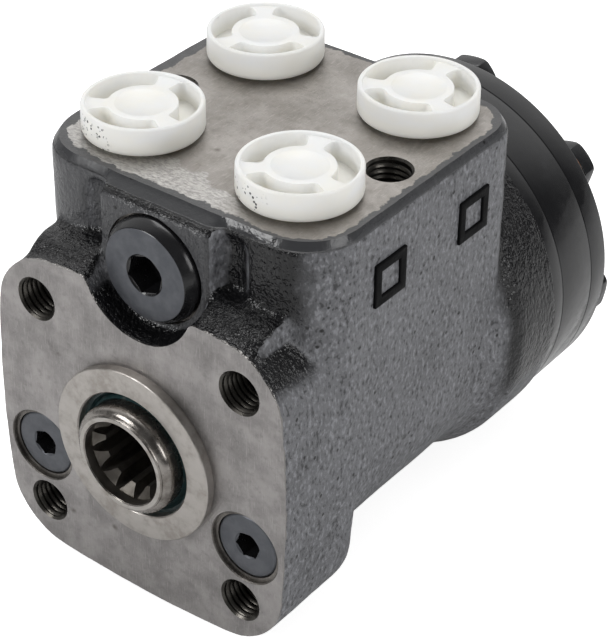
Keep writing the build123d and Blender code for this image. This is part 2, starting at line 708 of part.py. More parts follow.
def neutral_springs():
    """Two packs of bowed leaves back to back, with flat leaves between them."""
    half = SLEEVE_STEP_RADIUS - 0.2
    gap = LEAF_THICKNESS + SPOOL_GAP
    flat = Pos(0.02 + LEAF_THICKNESS / 2, 0) * Rectangle(LEAF_THICKNESS, 2 * half)
    first = LEAF_BOW + gap
    sections = [bowed_leaf(first), bowed_leaf(first + gap), flat]
    blades = []
    for section in sections:
        blade = prism(section, SPRING_Y - SPRING_WIDTH / 2, SPRING_Y + SPRING_WIDTH / 2)
        blades += [blade, mirror(blade, Plane.YZ)]
    return Compound(blades)


def spring_ring():
    """The ring round the sleeve's front step that keeps the springs in."""
    start = SLEEVE_FRONT + 6 * SEAT_GAP
    end = SLEEVE_STEP_END - SEAT_GAP
    return tube(SLEEVE_RADIUS - SPOOL_GAP, SLEEVE_STEP_RADIUS + SLEEVE_GAP, start, end)


# ---- Drive shaft ----
def drive_shaft():
    """The cardan shaft: forked on the cross pin, with a crowned spline in the star."""
    fork_front = FORK_FRONT - PIN_Y
    fork_rear = FORK_REAR - PIN_Y
    head_front = HEAD_FRONT - PIN_Y
    head_rear = HEAD_REAR - PIN_Y
    shaft = rod(FORK_RADIUS, fork_front, fork_rear) + rod(SHAFT_RADIUS, fork_rear, head_front)
    section = spline_section(HEAD_ROOT, HEAD_TIP, SHAFT_TEETH, 0.62, 0.30)
    teeth = prism(Rot(0, 0, 180 / SHAFT_TEETH) * section, head_front, head_rear)
    crown = Pos(0, ROTOR_Y - PIN_Y, 0) * Sphere(HEAD_CROWN)
    slot_end = 0.5
    slot_length = slot_end - fork_front + 1
    slot_width = 2 * (PIN_RADIUS + SPOOL_GAP)
    slot = Pos(0, slot_end - slot_length / 2, 0) * Box(LONG, slot_length, slot_width)
    slot += Pos(0, slot_end, 0) * Rot(0, 90, 0) * Cylinder(slot_width / 2, LONG)
    return Pos(0, PIN_Y, 0) * Rot(TILT, 0, 0) * (shaft + (teeth & crown) - slot)


def drive_spacer():
    """The loose round spacer between the drive shaft's end and the cover."""
    return rod(STAR_SPLINE_TIP - 0.3, HEAD_REAR + 0.6, GEAR_REAR - SEAT_GAP, 0, ECCENTRICITY)


# ---- Relief valve ----
def relief_plug():
    """A flanged plug with a hexagon socket."""
    bevel_end = RELIEF_FACE + (RELIEF_HEAD_RADIUS - RELIEF_FACE_RADIUS) * 0.55
    plug = turned(
        (0, RELIEF_FACE), (RELIEF_FACE_RADIUS, RELIEF_FACE), (RELIEF_HEAD_RADIUS, bevel_end),
        (RELIEF_HEAD_RADIUS, RELIEF_SEAT_Y), (RELIEF_THREAD, RELIEF_SEAT_Y),
        (RELIEF_THREAD, RELIEF_PLUG_END), (0, RELIEF_PLUG_END),
    )
    section = Rot(0, 0, 12) * hexagon(RELIEF_SOCKET)
    socket = prism(section, RELIEF_FACE, RELIEF_FACE + RELIEF_SOCKET_DEPTH)
    return Pos(0, 0, RELIEF_Z) * (plug - socket)


def relief_adjuster():
    """The screw that sets the relief spring, with its nose inside the spring."""
    start = RELIEF_CHAMBER_START + 1
    screw = rod(RELIEF_CHAMBER - 0.2, start, start + 4) + rod(2.6, start + 4, start + 8)
    return Pos(0, 0, RELIEF_Z) * (screw - prism(hexagon(5), start, start + 2.5))


def relief_spring():
    start = RELIEF_CHAMBER_START + 5 + SEAT_GAP
    return coil_spring(4.9, 1.8, start, RELIEF_CHAMBER_END - 10.6, 0, RELIEF_Z)


def relief_poppet():
    """The cone that closes the relief seat, with a stem inside the spring."""
    end = RELIEF_CHAMBER_END
    poppet = turned(
        (0, end - 6.5), (2.4, end - 6.5), (2.4, end - 10.5), (4.9, end - 10.5),
        (4.9, end - 5.5), (2.2, end - 1.6), (0, end - 1.6),
    )
    return Pos(0, 0, RELIEF_Z) * poppet


def relief_seat():
    end = RELIEF_CHAMBER_END - SEAT_GAP
    return tube(RELIEF_CHAMBER - SEAT_GAP, 2.5, end - RELIEF_SEAT_THICKNESS, end, 0, RELIEF_Z)


# ---- Shock valves ----
def shock_plug(side):
    """A threaded plug with a hexagon socket and a nose inside the spring."""
    edge = 0.4
    plug = turned(
        (0, SHOCK_FACE), (SHOCK_RADIUS - edge, SHOCK_FACE), (SHOCK_RADIUS, SHOCK_FACE + edge),
        (SHOCK_RADIUS, SHOCK_PLUG_END), (3, SHOCK_PLUG_END), (3, SHOCK_PLUG_END + 3),
        (0, SHOCK_PLUG_END + 3),
    )
    section = Rot(0, 0, 20) * hexagon(SHOCK_SOCKET)
    socket = prism(section, SHOCK_FACE, SHOCK_FACE + SHOCK_SOCKET_DEPTH)
    return Pos(side * SHOCK_X, 0, SHOCK_Z) * (plug - socket)


def shock_seat(side):
    end = SHOCK_CHAMBER_END - SEAT_GAP
    start = end - SHOCK_SEAT_THICKNESS
    return tube(SHOCK_CHAMBER - SPOOL_GAP, SHOCK_SEAT_HOLE, start, end, side * SHOCK_X, SHOCK_Z)


def shock_ball_y():
    """How far back the ball's centre lies when it rests on the seat's edge."""
    rest = math.sqrt(SHOCK_BALL**2 - SHOCK_SEAT_HOLE**2)
    return SHOCK_CHAMBER_END - SEAT_GAP - SHOCK_SEAT_THICKNESS - rest - THREAD_GAP


def shock_ball(side):
    return Pos(side * SHOCK_X, shock_ball_y(), SHOCK_Z) * Sphere(SHOCK_BALL)


def shock_spring(side):
    start = SHOCK_PLUG_END + SEAT_GAP
    end = shock_ball_y() - 2.6
    return coil_spring(4.6, 1.4, start, end, side * SHOCK_X, SHOCK_Z)


# ---- Check valve ----
def check_bushing():
    x, z = on_circle(CHECK_CIRCLE, SCREW_ANGLES[PIN_SCREW_INDEX])
    start = CAST_REAR - CHECK_BUSHING_DEPTH
    return tube(CHECK_RADIUS - SPOOL_GAP, CHECK_BUSHING_HOLE, start, CAST_REAR - 0.4, x, z)


def check_ball():
    """The ball, resting on the edge of the bushing's hole."""
    x, z = on_circle(CHECK_CIRCLE, SCREW_ANGLES[PIN_SCREW_INDEX])
    radius = CHECK_RADIUS - 1
    rest = math.sqrt(radius**2 - CHECK_BUSHING_HOLE**2)
    y = CAST_REAR - CHECK_BUSHING_DEPTH - rest - CHECK_SEAT_GAP
    return Pos(x, y, z) * Sphere(radius)


# ---- Port caps ----
def cap_recess(start, end):
    """One of the open pockets between the cap's hub and its wall."""
    wall = CAP_RADIUS - CAP_WALL
    sides = Polyline(on_circle(wall, end), (0, 0), on_circle(wall, start))
    sector = make_face(CenterArc((0, 0), wall, start, end - start) + sides)
    return sector - Circle(CAP_HUB)


def port_cap(side, y, turn):
    """A moulded cap: thin wall, round hub on webs, and a plug that stands in the port."""
    pitch = 360 / CAP_WEBS
    shell = upright(CAP_RADIUS, CAP_BASE, CAP_TOP)
    shell = chamfer(shell.faces().sort_by(Axis.Z)[0].edges(), 0.9)
    shell -= upright(CAP_RADIUS - CAP_WALL, CAP_TOP - CAP_HUB_DROP, CAP_TOP)
    for i in range(CAP_WEBS):
        start = turn + pitch * i + CAP_WEB_ANGLE / 2
        pocket = Pos(0, 0, CAP_TOP - CAP_RECESS) * cap_recess(start, start + pitch - CAP_WEB_ANGLE)
        shell -= extrude(pocket, amount=CAP_RECESS)
    outer = PORT_DRILL - SEAT_GAP
    floor = BLOCK_TOP - CAP_PLUG_LENGTH
    skirt = upright(PORT_DRILL + 2, BLOCK_TOP, CAP_BASE + 0.1)
    plug = upright(outer, floor, BLOCK_TOP + 0.1)
    plug -= upright(outer - CAP_PLUG_WALL, floor, BLOCK_TOP - 1)
    return Pos(side * PORT_X, y, 0) * (shell + skirt + plug)


# ---- All nodes ----
def build_parts():
    """Every node by its name."""
    seal_depth = 2 * SEAL_CORD - SEAL_SQUEEZE
    nodes = {
        "valve_housing": valve_housing(),
        "distributor_plate": distributor_plate(),
        "gear_ring": gear_ring(),
        "gear_rotor": gear_rotor(),
        "end_cover": end_cover(),
        "cover_screws": cover_screws(),
        "pin_screw": pin_screw(),
        "cover_washers": cover_washers(),
        "housing_o_ring": o_ring(CAST_REAR - seal_depth, CAST_REAR),
        "plate_o_ring": o_ring(GEAR_FRONT - seal_depth, GEAR_FRONT),
        "cover_o_ring": o_ring(GEAR_REAR, GEAR_REAR + seal_depth),
        "dust_seal": dust_seal(),
        "shaft_seal": shaft_seal(),
        "thrust_race_front": thrust_race(BEARING_SEAT, RACE_FRONT_THICKNESS),
        "thrust_cage": thrust_cage(),
        "thrust_race_rear": thrust_race(RACE_REAR_START, RACE_REAR_THICKNESS),
        "valve_spool": valve_spool(),
        "valve_sleeve": valve_sleeve(),
        "cross_pin": cross_pin(),
        "neutral_springs": neutral_springs(),
        "spring_ring": spring_ring(),
        "drive_shaft": drive_shaft(),
        "drive_spacer": drive_spacer(),
        "relief_plug": relief_plug(),
        "relief_adjuster": relief_adjuster(),
        "relief_spring": relief_spring(),
        "relief_poppet": relief_poppet(),
        "relief_seat": relief_seat(),
        "check_bushing": check_bushing(),
        "check_ball": check_ball(),
    }
    for name, side in (("left", -1), ("right", 1)):
        nodes[f"shock_plug_{name}"] = shock_plug(side)
        nodes[f"shock_spring_{name}"] = shock_spring(side)
        nodes[f"shock_ball_{name}"] = shock_ball(side)
        nodes[f"shock_seat_{name}"] = shock_seat(side)
    nodes["port_cap_front_left"] = port_cap(-1, PORT_FRONT_Y, 100)
    nodes["port_cap_front_right"] = port_cap(1, PORT_FRONT_Y, 105)
    nodes["port_cap_rear_left"] = port_cap(-1, PORT_REAR_Y, 10)
    nodes["port_cap_rear_right"] = port_cap(1, PORT_REAR_Y, 92)
    return nodes


os.makedirs("parts", exist_ok=True)
for node_name, shape in build_parts().items():
    export_step(shape, f"parts/{node_name}.step")
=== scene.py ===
"""Visual model of an orbital steering unit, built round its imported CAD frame.

Sizes and places are written in millimetres in the frame's own axes: the origin is the centre of
the mounting flange's face on the shaft's axis, +X points right, +Y back along the shaft and +Z
up to the port face. The bench turns them into metres.
"""

import json
import logging
import math
from dataclasses import dataclass, field
from enum import Enum
from typing import Callable, Iterable, Sequence

import bpy
from mathutils import Euler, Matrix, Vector

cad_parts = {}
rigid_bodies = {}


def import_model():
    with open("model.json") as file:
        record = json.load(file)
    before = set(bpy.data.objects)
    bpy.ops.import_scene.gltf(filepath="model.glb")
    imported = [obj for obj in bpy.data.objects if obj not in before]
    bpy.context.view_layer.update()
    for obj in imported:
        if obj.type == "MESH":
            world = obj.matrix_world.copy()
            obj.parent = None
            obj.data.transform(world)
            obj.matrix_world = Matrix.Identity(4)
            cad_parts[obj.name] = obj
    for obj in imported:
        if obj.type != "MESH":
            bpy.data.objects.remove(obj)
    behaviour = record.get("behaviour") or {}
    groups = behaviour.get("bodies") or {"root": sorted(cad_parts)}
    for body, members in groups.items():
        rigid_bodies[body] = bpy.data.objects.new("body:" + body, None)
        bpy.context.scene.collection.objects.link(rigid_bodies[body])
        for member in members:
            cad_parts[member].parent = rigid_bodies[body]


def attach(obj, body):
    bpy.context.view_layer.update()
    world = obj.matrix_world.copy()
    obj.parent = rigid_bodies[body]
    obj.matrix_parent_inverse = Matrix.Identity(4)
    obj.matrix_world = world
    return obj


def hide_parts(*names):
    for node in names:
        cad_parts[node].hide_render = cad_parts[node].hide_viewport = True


MM = 0.001
FULL_TURN = 2 * math.pi
RIGHT_ANGLE = math.pi / 2
WELD = 0.002

Pair = tuple[float, float]
Point = tuple[float, float, float]
Colour = tuple[float, float, float]
log = logging.getLogger("steering_unit")


class Axis(Enum):
    """The frame's axes that round pieces are turned about."""

    X = "X"
    Y = "Y"
    Z = "Z"


class Cut(Enum):
    """What a boolean modifier does with its tool."""

    AWAY = "DIFFERENCE"
    KEEP = "INTERSECT"


# ---- The bench: hand operations on meshes ----
def clear_selection() -> None:
    """Leave nothing selected and no object active in edit mode."""
    if bpy.context.object and bpy.context.object.mode != "OBJECT":
        bpy.ops.object.mode_set(mode="OBJECT")
    bpy.ops.object.select_all(action="DESELECT")


def pick(piece: bpy.types.Object) -> None:
    """Make one object the selected and active one.

    Args:
        piece: The object to work on.
    """
    clear_selection()
    piece.select_set(True)
    bpy.context.view_layer.objects.active = piece


def edit(piece: bpy.types.Object) -> None:
    """Pick an object and enter edit mode with everything selected.

    Args:
        piece: The object to work on.
    """
    pick(piece)
    bpy.ops.object.mode_set(mode="EDIT")
    bpy.ops.mesh.select_mode(type="VERT")
    bpy.ops.mesh.select_all(action="SELECT")


def leave_edit() -> None:
    """Go back to object mode."""
    bpy.ops.object.mode_set(mode="OBJECT")


def settle(piece: bpy.types.Object) -> None:
    """Apply an object's place and turn to its mesh, so that the object sits at the origin."""
    pick(piece)
    bpy.ops.object.transform_apply(location=True, rotation=True, scale=True)


def extrude(step: Sequence[float]) -> None:
    """Extrude what is selected by a step in metres."""
    bpy.ops.mesh.extrude_region_move(TRANSFORM_OT_translate={"value": step})


def draw_path(name: str, points: Sequence[Point]) -> bpy.types.Object:
    """Draw a chain of edges by extruding one vertex from point to point.

    Args:
        name: The new object's name.
        points: The chain's points in millimetres.

    Returns:
        The object, left in edit mode with its last vertex selected.
    """
    clear_selection()
    start = Vector(points[0]) * MM
    bpy.ops.mesh.primitive_plane_add(size=MM, location=start)
    piece = bpy.context.object
    piece.name = name
    settle(piece)
    edit(piece)
    bpy.ops.mesh.merge(type="CENTER")
    for before, after in zip(points, points[1:]):
        extrude((Vector(after) - Vector(before)) * MM)
    return piece


def filled(name: str, outline: Sequence[Point]) -> bpy.types.Object:
    """Draw a closed outline and fill it.

    Args:
        name: The new object's name.
        outline: The outline's points in one plane, in millimetres, without the closing one.

    Returns:
        The object, left in edit mode with its one face selected.
    """
    piece = draw_path(name, [*outline, outline[0]])
    bpy.ops.mesh.select_all(action="SELECT")
    bpy.ops.mesh.remove_doubles(threshold=WELD * MM)
    bpy.ops.mesh.edge_face_add()
    return piece


def close_up() -> None:
    """Merge doubled points, turn every face outwards and leave edit mode."""
    bpy.ops.mesh.select_all(action="SELECT")
    bpy.ops.mesh.remove_doubles(threshold=WELD * MM)
    bpy.ops.mesh.delete_loose()
    bpy.ops.mesh.select_all(action="SELECT")
    bpy.ops.mesh.normals_make_consistent(inside=False)
    leave_edit()


def turned(
    name: str,
    profile: Sequence[Pair],
    axis: Axis = Axis.Y,
    at: Point = (0, 0, 0),
    steps: int = 96,
) -> bpy.types.Object:
    """Turn a closed profile about an axis.

    Args:
        name: The new object's name.
        profile: Points as (radius, distance along the axis); it closes on itself.
        axis: The axis to turn about.
        at: A point on that axis.
        steps: How many faces go round.

    Returns:
        The turned piece.
    """
    x, y, z = at
    direction = (0, 1, 0) if axis is Axis.Y else (0, 0, 1)
    if axis is Axis.Y:
        points = [(x + radius, y + along, z) for radius, along in profile]
    else:
        points = [(x + radius, y, z + along) for radius, along in profile]
    piece = draw_path(name, [*points, points[0]])
    bpy.ops.mesh.select_all(action="SELECT")
    bpy.ops.mesh.spin(steps=steps, angle=FULL_TURN, center=Vector(at) * MM, axis=direction)
    close_up()
    return piece


def rod(
    name: str, radius: float, start: float, end: float, at: Point = (0, 0, 0), steps: int = 96
) -> bpy.types.Object:
    """Turn a plain round bar along Y between two stations."""
    return turned(name, [(0, start), (radius, start), (radius, end), (0, end)], Axis.Y, at, steps)


def prism(name: str, outline: Sequence[Point], rise: Point) -> bpy.types.Object:
    """Fill a drawn outline and extrude it.

    Args:
        name: The new object's name.
        outline: The outline's points in one plane, in millimetres, without the closing one.
        rise: How far and which way the outline is extruded.

    Returns:
        The prism.
    """
    piece = filled(name, outline)
    extrude(Vector(rise) * MM)
    close_up()
    return piece


def block(name: str, low: Point, high: Point) -> bpy.types.Object:
    """Add a box as a cutter or as the start of a piece.

    Args:
        name: The new object's name.
        low: Its lowest corner in millimetres.
        high: Its highest corner.

    Returns:
        The box.
    """
    clear_selection()
    middle = (Vector(low) + Vector(high)) / 2 * MM
    bpy.ops.mesh.primitive_cube_add(size=1, location=middle)
    piece = bpy.context.object
    piece.name = name
    piece.scale = (Vector(high) - Vector(low)) * MM
    settle(piece)
    return piece


def arc(middle: Pair, radius: float, start: float, end: float, count: int) -> list[Pair]:
    """Points of an arc.

    Args:
        middle: The arc's centre.
        radius: Its radius.
        start: The first angle in degrees.
        end: The last angle in degrees.
        count: How many steps the arc has.

    Returns:
        The points as pairs.
    """
    points = []
    for i in range(count + 1):
        angle = math.radians(start + (end - start) * i / count)
        points.append((middle[0] + radius * math.cos(angle), middle[1] + radius * math.sin(angle)))
    return points


def around(radius: float, degrees: float, y: float = 0) -> Point:
    """A point on a circle round the shaft's axis."""
    angle = math.radians(degrees)
    return (radius * math.cos(angle), y, radius * math.sin(angle))


def rounded_plan(low: Pair, high: Pair, corners: Sequence[float], count: int = 10) -> list[Pair]:
    """Points of a rectangle with round corners, from the lower right one round to the left.

    Args:
        low: The lower left corner.
        high: The upper right corner.
        corners: The radii of the lower right, upper right, upper left and lower left corners.
        count: How many steps each corner has.

    Returns:
        The points as pairs.
    """
    (left, bottom), (right, top) = low, high
    a, b, c, d = corners
    return (
        arc((right - a, bottom + a), a, -90, 0, count)
        + arc((right - b, top - b), b, 0, 90, count)
        + arc((left + c, top - c), c, 90, 180, count)
        + arc((left + d, bottom + d), d, 180, 270, count)
    )


def finish_with(piece: bpy.types.Object, kind: str, **settings: object) -> None:
    """Add one modifier and apply it.

    Args:
        piece: The object to finish.
        kind: The modifier's type.
        settings: The modifier's own settings.
    """
    pick(piece)
    modifier = piece.modifiers.new(kind.title(), kind)
    for key, value in settings.items():
        setattr(modifier, key, value)
    bpy.ops.object.modifier_apply(modifier=modifier.name)


def cut(piece: bpy.types.Object, tools: Iterable[bpy.types.Object], how: Cut = Cut.AWAY) -> None:
    """Cut with other objects or keep what they share, and use them up.

    Args:
        piece: The object that stays.
        tools: The objects that are used up.
        how: What the tools do.
    """
    for tool in tools:
        finish_with(piece, "BOOLEAN", object=tool, operation=how.value, solver="EXACT")
        bpy.data.objects.remove(tool)


def merged(name: str, pieces: Sequence[bpy.types.Object]) -> bpy.types.Object:
    """Join separate objects into one without welding them.

    Args:
        name: The joined object's name.
        pieces: The objects, which are used up.

    Returns:
        The joined object.
    """
    clear_selection()
    for piece in pieces:
        piece.select_set(True)
    bpy.context.view_layer.objects.active = pieces[0]
    bpy.ops.object.join()
    pieces[0].name = name
    return pieces[0]


def copied(piece: bpy.types.Object, name: str, shift: Point = (0, 0, 0)) -> bpy.types.Object:
    """Copy an object with a mesh of its own and move the copy's mesh.

    Args:
        piece: The object to copy.
        name: The copy's name.
        shift: How far the copy moves, in millimetres.

    Returns:
        The copy.
    """
    pick(piece)
    bpy.ops.object.duplicate(linked=False)
    twin = bpy.context.object
    twin.name = name
    move(twin, shift)
    return twin


def move(piece: bpy.types.Object, shift: Point) -> None:
    """Move an object's mesh and leave the object at the origin.

    Args:
        piece: The object to work on.
        shift: How far its mesh moves, in millimetres.
    """
    edit(piece)
    bpy.ops.transform.translate(value=Vector(shift) * MM)
    leave_edit()


def turn(piece: bpy.types.Object, degrees: float, axis: Axis, about: Point = (0, 0, 0)) -> None:
    """Turn an object's mesh about an axis through a point.

    Args:
        piece: The object to turn.
        degrees: The angle by the right-hand rule. Without a window the operator turns the
            other way, so it is given the opposite angle.
        axis: The axis to turn about.
        about: A point on that axis in millimetres.
    """
    edit(piece)
    bpy.ops.transform.rotate(
        value=-math.radians(degrees), orient_axis=axis.value, center_override=Vector(about) * MM
    )
    leave_edit()


def round_edges(
    piece: bpy.types.Object, radius: float, wanted: Callable[[Vector, Vector], bool], segments: int
) -> None:
    """Round the edges whose two ends pass a test.

    Args:
        piece: The object to work on.
        radius: The rounding in millimetres.
        wanted: The test on an edge's two ends, in millimetres.
        segments: How many faces the rounding has.
    """
    edit(piece)
    bpy.ops.mesh.select_all(action="DESELECT")
    bpy.ops.mesh.select_mode(type="EDGE")
    leave_edit()
    mesh = piece.data
    for edge in mesh.edges:
        first, second = (mesh.vertices[i].co / MM for i in edge.vertices)
        edge.select = wanted(first, second)
    bpy.ops.object.mode_set(mode="EDIT")
    bpy.ops.mesh.bevel(offset=radius * MM, segments=segments, affect="EDGES", clamp_overlap=True)
    close_up()


def smooth(piece: bpy.types.Object, degrees: float = 32) -> None:
    """Shade smooth, with edges sharper than an angle kept sharp."""
    pick(piece)
    bpy.ops.object.shade_smooth_by_angle(angle=math.radians(degrees))


def hexagon_tool(
    name: str, flats: float, start: float, end: float, at: Point, spin: float
) -> bpy.types.Object:
    """Make a six-sided bar along Y.

    Args:
        name: The new object's name.
        flats: Its width across flats in millimetres.
        start: Where it starts along Y.
        end: Where it ends.
        at: A point on its axis.
        spin: How far it is turned about its axis, in degrees.

    Returns:
        The bar.
    """
    clear_selection()
    middle = Vector((at[0], (start + end) / 2, at[2])) * MM
    bpy.ops.mesh.primitive_cylinder_add(
        vertices=6,
        radius=flats / math.sqrt(3) * MM,
        depth=(end - start) * MM,
        location=middle,
        rotation=(RIGHT_ANGLE, 0, 0),
    )
    piece = bpy.context.object
    piece.name = name
    settle(piece)
    turn(piece, spin, Axis.Y, at)
    return piece


def thread(
    name: str, crest: float, root: float, pitch: float, turns: int, steps: int = 40
) -> bpy.types.Object:
    """Model the ridge of an internal thread along Y, starting at the origin.

    Args:
        name: The new object's name.
        crest: The radius that the ridge reaches inwards.
        root: The radius of the wall that carries it.
        pitch: The rise of one turn.
        turns: How many turns it has.
        steps: How many faces each turn has.

    Returns:
        The helical ridge, closed at both ends.
    """
    flank = pitch * 0.46
    tip = pitch * 0.07
    seam = WELD / 2
    ridge = [(root, 0, 0), (crest, flank - tip, 0), (crest, flank + tip, 0), (root, 2 * flank, 0)]
    piece = draw_path(name, [*ridge, ridge[0]])
    bpy.ops.mesh.select_all(action="SELECT")
    bpy.ops.mesh.remove_doubles(threshold=seam * MM)
    leave_edit()
    finish_with(
        piece,
        "SCREW",
        axis="Y",
        angle=FULL_TURN,
        screw_offset=pitch * MM,
        iterations=turns,
        steps=steps,
        render_steps=steps,
        use_merge_vertices=True,
        merge_threshold=seam * MM,
    )
    edit(piece)
    bpy.ops.mesh.select_all(action="DESELECT")
    bpy.ops.mesh.select_mode(type="EDGE")
    bpy.ops.mesh.select_non_manifold()
    bpy.ops.mesh.fill()
    close_up()
    smooth(piece, 50)
    return piece


# ---- Shader nodes ----
class Level:
    """A number that nodes work out at each point, and that adds, subtracts and multiplies."""

    def __init__(self, nodes: "Nodes", socket: bpy.types.NodeSocket) -> None:
        """Hold a node's output and the tree that it belongs to."""
        self.nodes = nodes
        self.socket = socket

    def __add__(self, other: object) -> "Level":
        """This number and another one added."""
        return self.nodes.math("ADD", self, other)

    def __sub__(self, other: object) -> "Level":
        """This number less another one."""
        return self.nodes.math("SUBTRACT", self, other)

    def __rsub__(self, other: object) -> "Level":
        """A plain number less this one."""
        return self.nodes.math("SUBTRACT", other, self)

    def __mul__(self, other: object) -> "Level":
        """This number times another one."""
        return self.nodes.math("MULTIPLY", self, other)


class Nodes:
    """A node tree under construction, with short calls for what finishes and light share."""

    def __init__(self, tree: bpy.types.NodeTree) -> None:
        """Take over a tree."""
        self.tree = tree

    def add(self, kind: str, **settings: object) -> bpy.types.Node:
        """Add a node.

        Args:
            kind: The node's type.
            settings: The node's own settings.

        Returns:
            The node.
        """
        node = self.tree.nodes.new(kind)
        for key, value in settings.items():
            setattr(node, key, value)
        return node

    def feed(self, socket: bpy.types.NodeSocket, value: object) -> None:
        """Link an output to a socket, or set the socket to a plain value.

        Args:
            socket: The socket that takes it.
            value: A level, an output or a plain value.
        """
        if isinstance(value, Level):
            value = value.socket
        if isinstance(value, bpy.types.NodeSocket):
            self.tree.links.new(value, socket)
        else:
            socket.default_value = value

    def fill(self, node: bpy.types.Node, **values: object) -> None:
        """Feed a node's inputs by name.

        Args:
            node: The node.
            values: What each input takes, with _ for each space in its name.
        """
        for key, value in values.items():
            self.feed(node.inputs[key.replace("_", " ")], value)

    def math(self, operation: str, *values: object) -> Level:
        """Work out a number from others.

        Args:
            operation: The math node's operation.
            values: Levels or plain numbers, in the operation's order.

        Returns:
            The number.
        """
        node = self.add("ShaderNodeMath", operation=operation)
        for socket, value in zip(node.inputs, values):
            self.feed(socket, value)
        return Level(self, node.outputs[0])

    def ramp(self, value: object, low: float, high: float, to: Pair = (0, 1)) -> Level:
        """Map a range smoothly to another and stop at its ends.

        Args:
            value: What is mapped.
            low: The value that gives the first end.
            high: The value that gives the second end.
            to: The two ends.

        Returns:
            The mapped value.
        """
        node = self.add("ShaderNodeMapRange", interpolation_type="SMOOTHSTEP", clamp=True)
        self.fill(node, Value=value, From_Min=low, From_Max=high, To_Min=to[0], To_Max=to[1])
        return Level(self, node.outputs[0])

    def towards(self, vector: bpy.types.NodeSocket, direction: Point) -> Level:
        """How far a vector reaches in a direction.

        Args:
            vector: The vector's output.
            direction: The direction.

        Returns:
            Their dot product.
        """
        node = self.add("ShaderNodeVectorMath", operation="DOT_PRODUCT")
        self.feed(node.inputs[0], vector)
        node.inputs[1].default_value = direction
        return Level(self, node.outputs["Value"])


class Finish(Nodes):
    """A material under construction, whose patterns lie on the object's own coordinates."""

    def __init__(self, name: str) -> None:
        """Start a material with one principled shader.

        Args:
            name: The material's name.
        """
        self.material = bpy.data.materials.new(name)
        self.material.use_nodes = True
        super().__init__(self.material.node_tree)
        self.shader = self.tree.nodes["Principled BSDF"]
        self.place = self.add("ShaderNodeTexCoord").outputs["Object"]

    def set(self, **values: object) -> None:
        """Set or link the principled shader's sockets, with _ for each space in a name."""
        self.fill(self.shader, **values)

    def noise(
        self, size: float, detail: float = 3, rough: float = 0.55, stretch: Point = (1, 1, 1)
    ) -> Level:
        """Cloudy noise whose largest blobs are about size millimetres across.

        Args:
            size: The size of a blob in millimetres.
            detail: How many finer layers it has.
            rough: How strong each finer layer is.
            stretch: How much longer the blobs are along each axis.

        Returns:
            The noise from 0 to 1.
        """
        mapping = self.add("ShaderNodeMapping")
        self.fill(mapping, Vector=self.place, Scale=[1 / s for s in stretch])
        node = self.add("ShaderNodeTexNoise")
        self.fill(node, Vector=mapping.outputs[0], Scale=1 / (size * MM), Detail=detail)
        self.fill(node, Roughness=rough)
        return Level(self, node.outputs["Fac"])

    def cells(self, size: float) -> Level:
        """Distance from the nearest of scattered points, in units of size millimetres.

        Args:
            size: About how far apart the points are, in millimetres.

        Returns:
            The distance.
        """
        node = self.add("ShaderNodeTexVoronoi")
        self.fill(node, Vector=self.place, Scale=1 / (size * MM))
        return Level(self, node.outputs["Distance"])

    def coordinate(self, axis: Axis) -> Level:
        """One coordinate of the surface point, in millimetres.

        Args:
            axis: Which coordinate.

        Returns:
            The coordinate.
        """
        node = self.add("ShaderNodeSeparateXYZ")
        self.feed(node.inputs[0], self.place)
        return self.math("DIVIDE", node.outputs[axis.value], MM)

    def distance_from(self, point: Point) -> Level:
        """Distance of the surface point from a point, in millimetres.

        Args:
            point: The point in millimetres.

        Returns:
            The distance.
        """
        node = self.add("ShaderNodeVectorMath", operation="DISTANCE")
        self.feed(node.inputs[0], self.place)
        node.inputs[1].default_value = Vector(point) * MM
        return self.math("DIVIDE", node.outputs["Value"], MM)

    def facing(self, direction: Point) -> Level:
        """How squarely the surface faces a direction, from -1 to 1."""
        return self.towards(self.add("ShaderNodeTexCoord").outputs["Normal"], direction)

    def blend(self, share: object, first: object, second: object) -> bpy.types.NodeSocket:
        """Mix two colours.

        Args:
            share: The second colour's share, from 0 to 1.
            first: The first colour, plain or an output.
            second: The second colour, plain or an output.

        Returns:
            The mixed colour.
        """
        node = self.add("ShaderNodeMix", data_type="RGBA")
        self.feed(node.inputs["Factor"], share)
        for socket, value in ((node.inputs[6], first), (node.inputs[7], second)):
            self.feed(socket, (*value, 1) if isinstance(value, tuple) else value)
        return node.outputs[2]

    def inside(self, low: Pair, high: Pair, corner: float) -> Level:
        """Distance in millimetres to the outline of a rounded rectangle in plan, from inside.

        Args:
            low: The rectangle's lower left corner.
            high: Its upper right corner.
            corner: The radius of its corners.

        Returns:
            The distance, negative outside.
        """
        past = []
        for axis, first, second in zip((Axis.X, Axis.Y), low, high):
            away = self.math("ABSOLUTE", self.coordinate(axis) - (first + second) / 2)
            past.append(away - ((second - first) / 2 - corner))
        square = [self.math("POWER", self.math("MAXIMUM", value, 0.0), 2.0) for value in past]
        round_part = self.math("SQRT", square[0] + square[1])
        flat_part = self.math("MINIMUM", self.math("MAXIMUM", *past), 0.0)
        return corner - (round_part + flat_part)

    def relief(self, layers: Sequence[tuple[Level, float]]) -> None:
        """Bump the shader's normal by layers of height.

        Args:
            layers: Pairs of a height from 0 to 1 and the depth in millimetres that 1 stands for.
        """
        normal = None
        for height, depth in layers:
            node = self.add("ShaderNodeBump")
            self.fill(node, Strength=1, Distance=depth * MM, Height=height)
            if normal is not None:
                self.feed(node.inputs["Normal"], normal)
            normal = node.outputs["Normal"]
        self.set(Normal=normal)


def scaled(colour: Colour, factor: float) -> Colour:
    """A colour with each part times a factor."""
    return tuple(factor * part for part in colour)


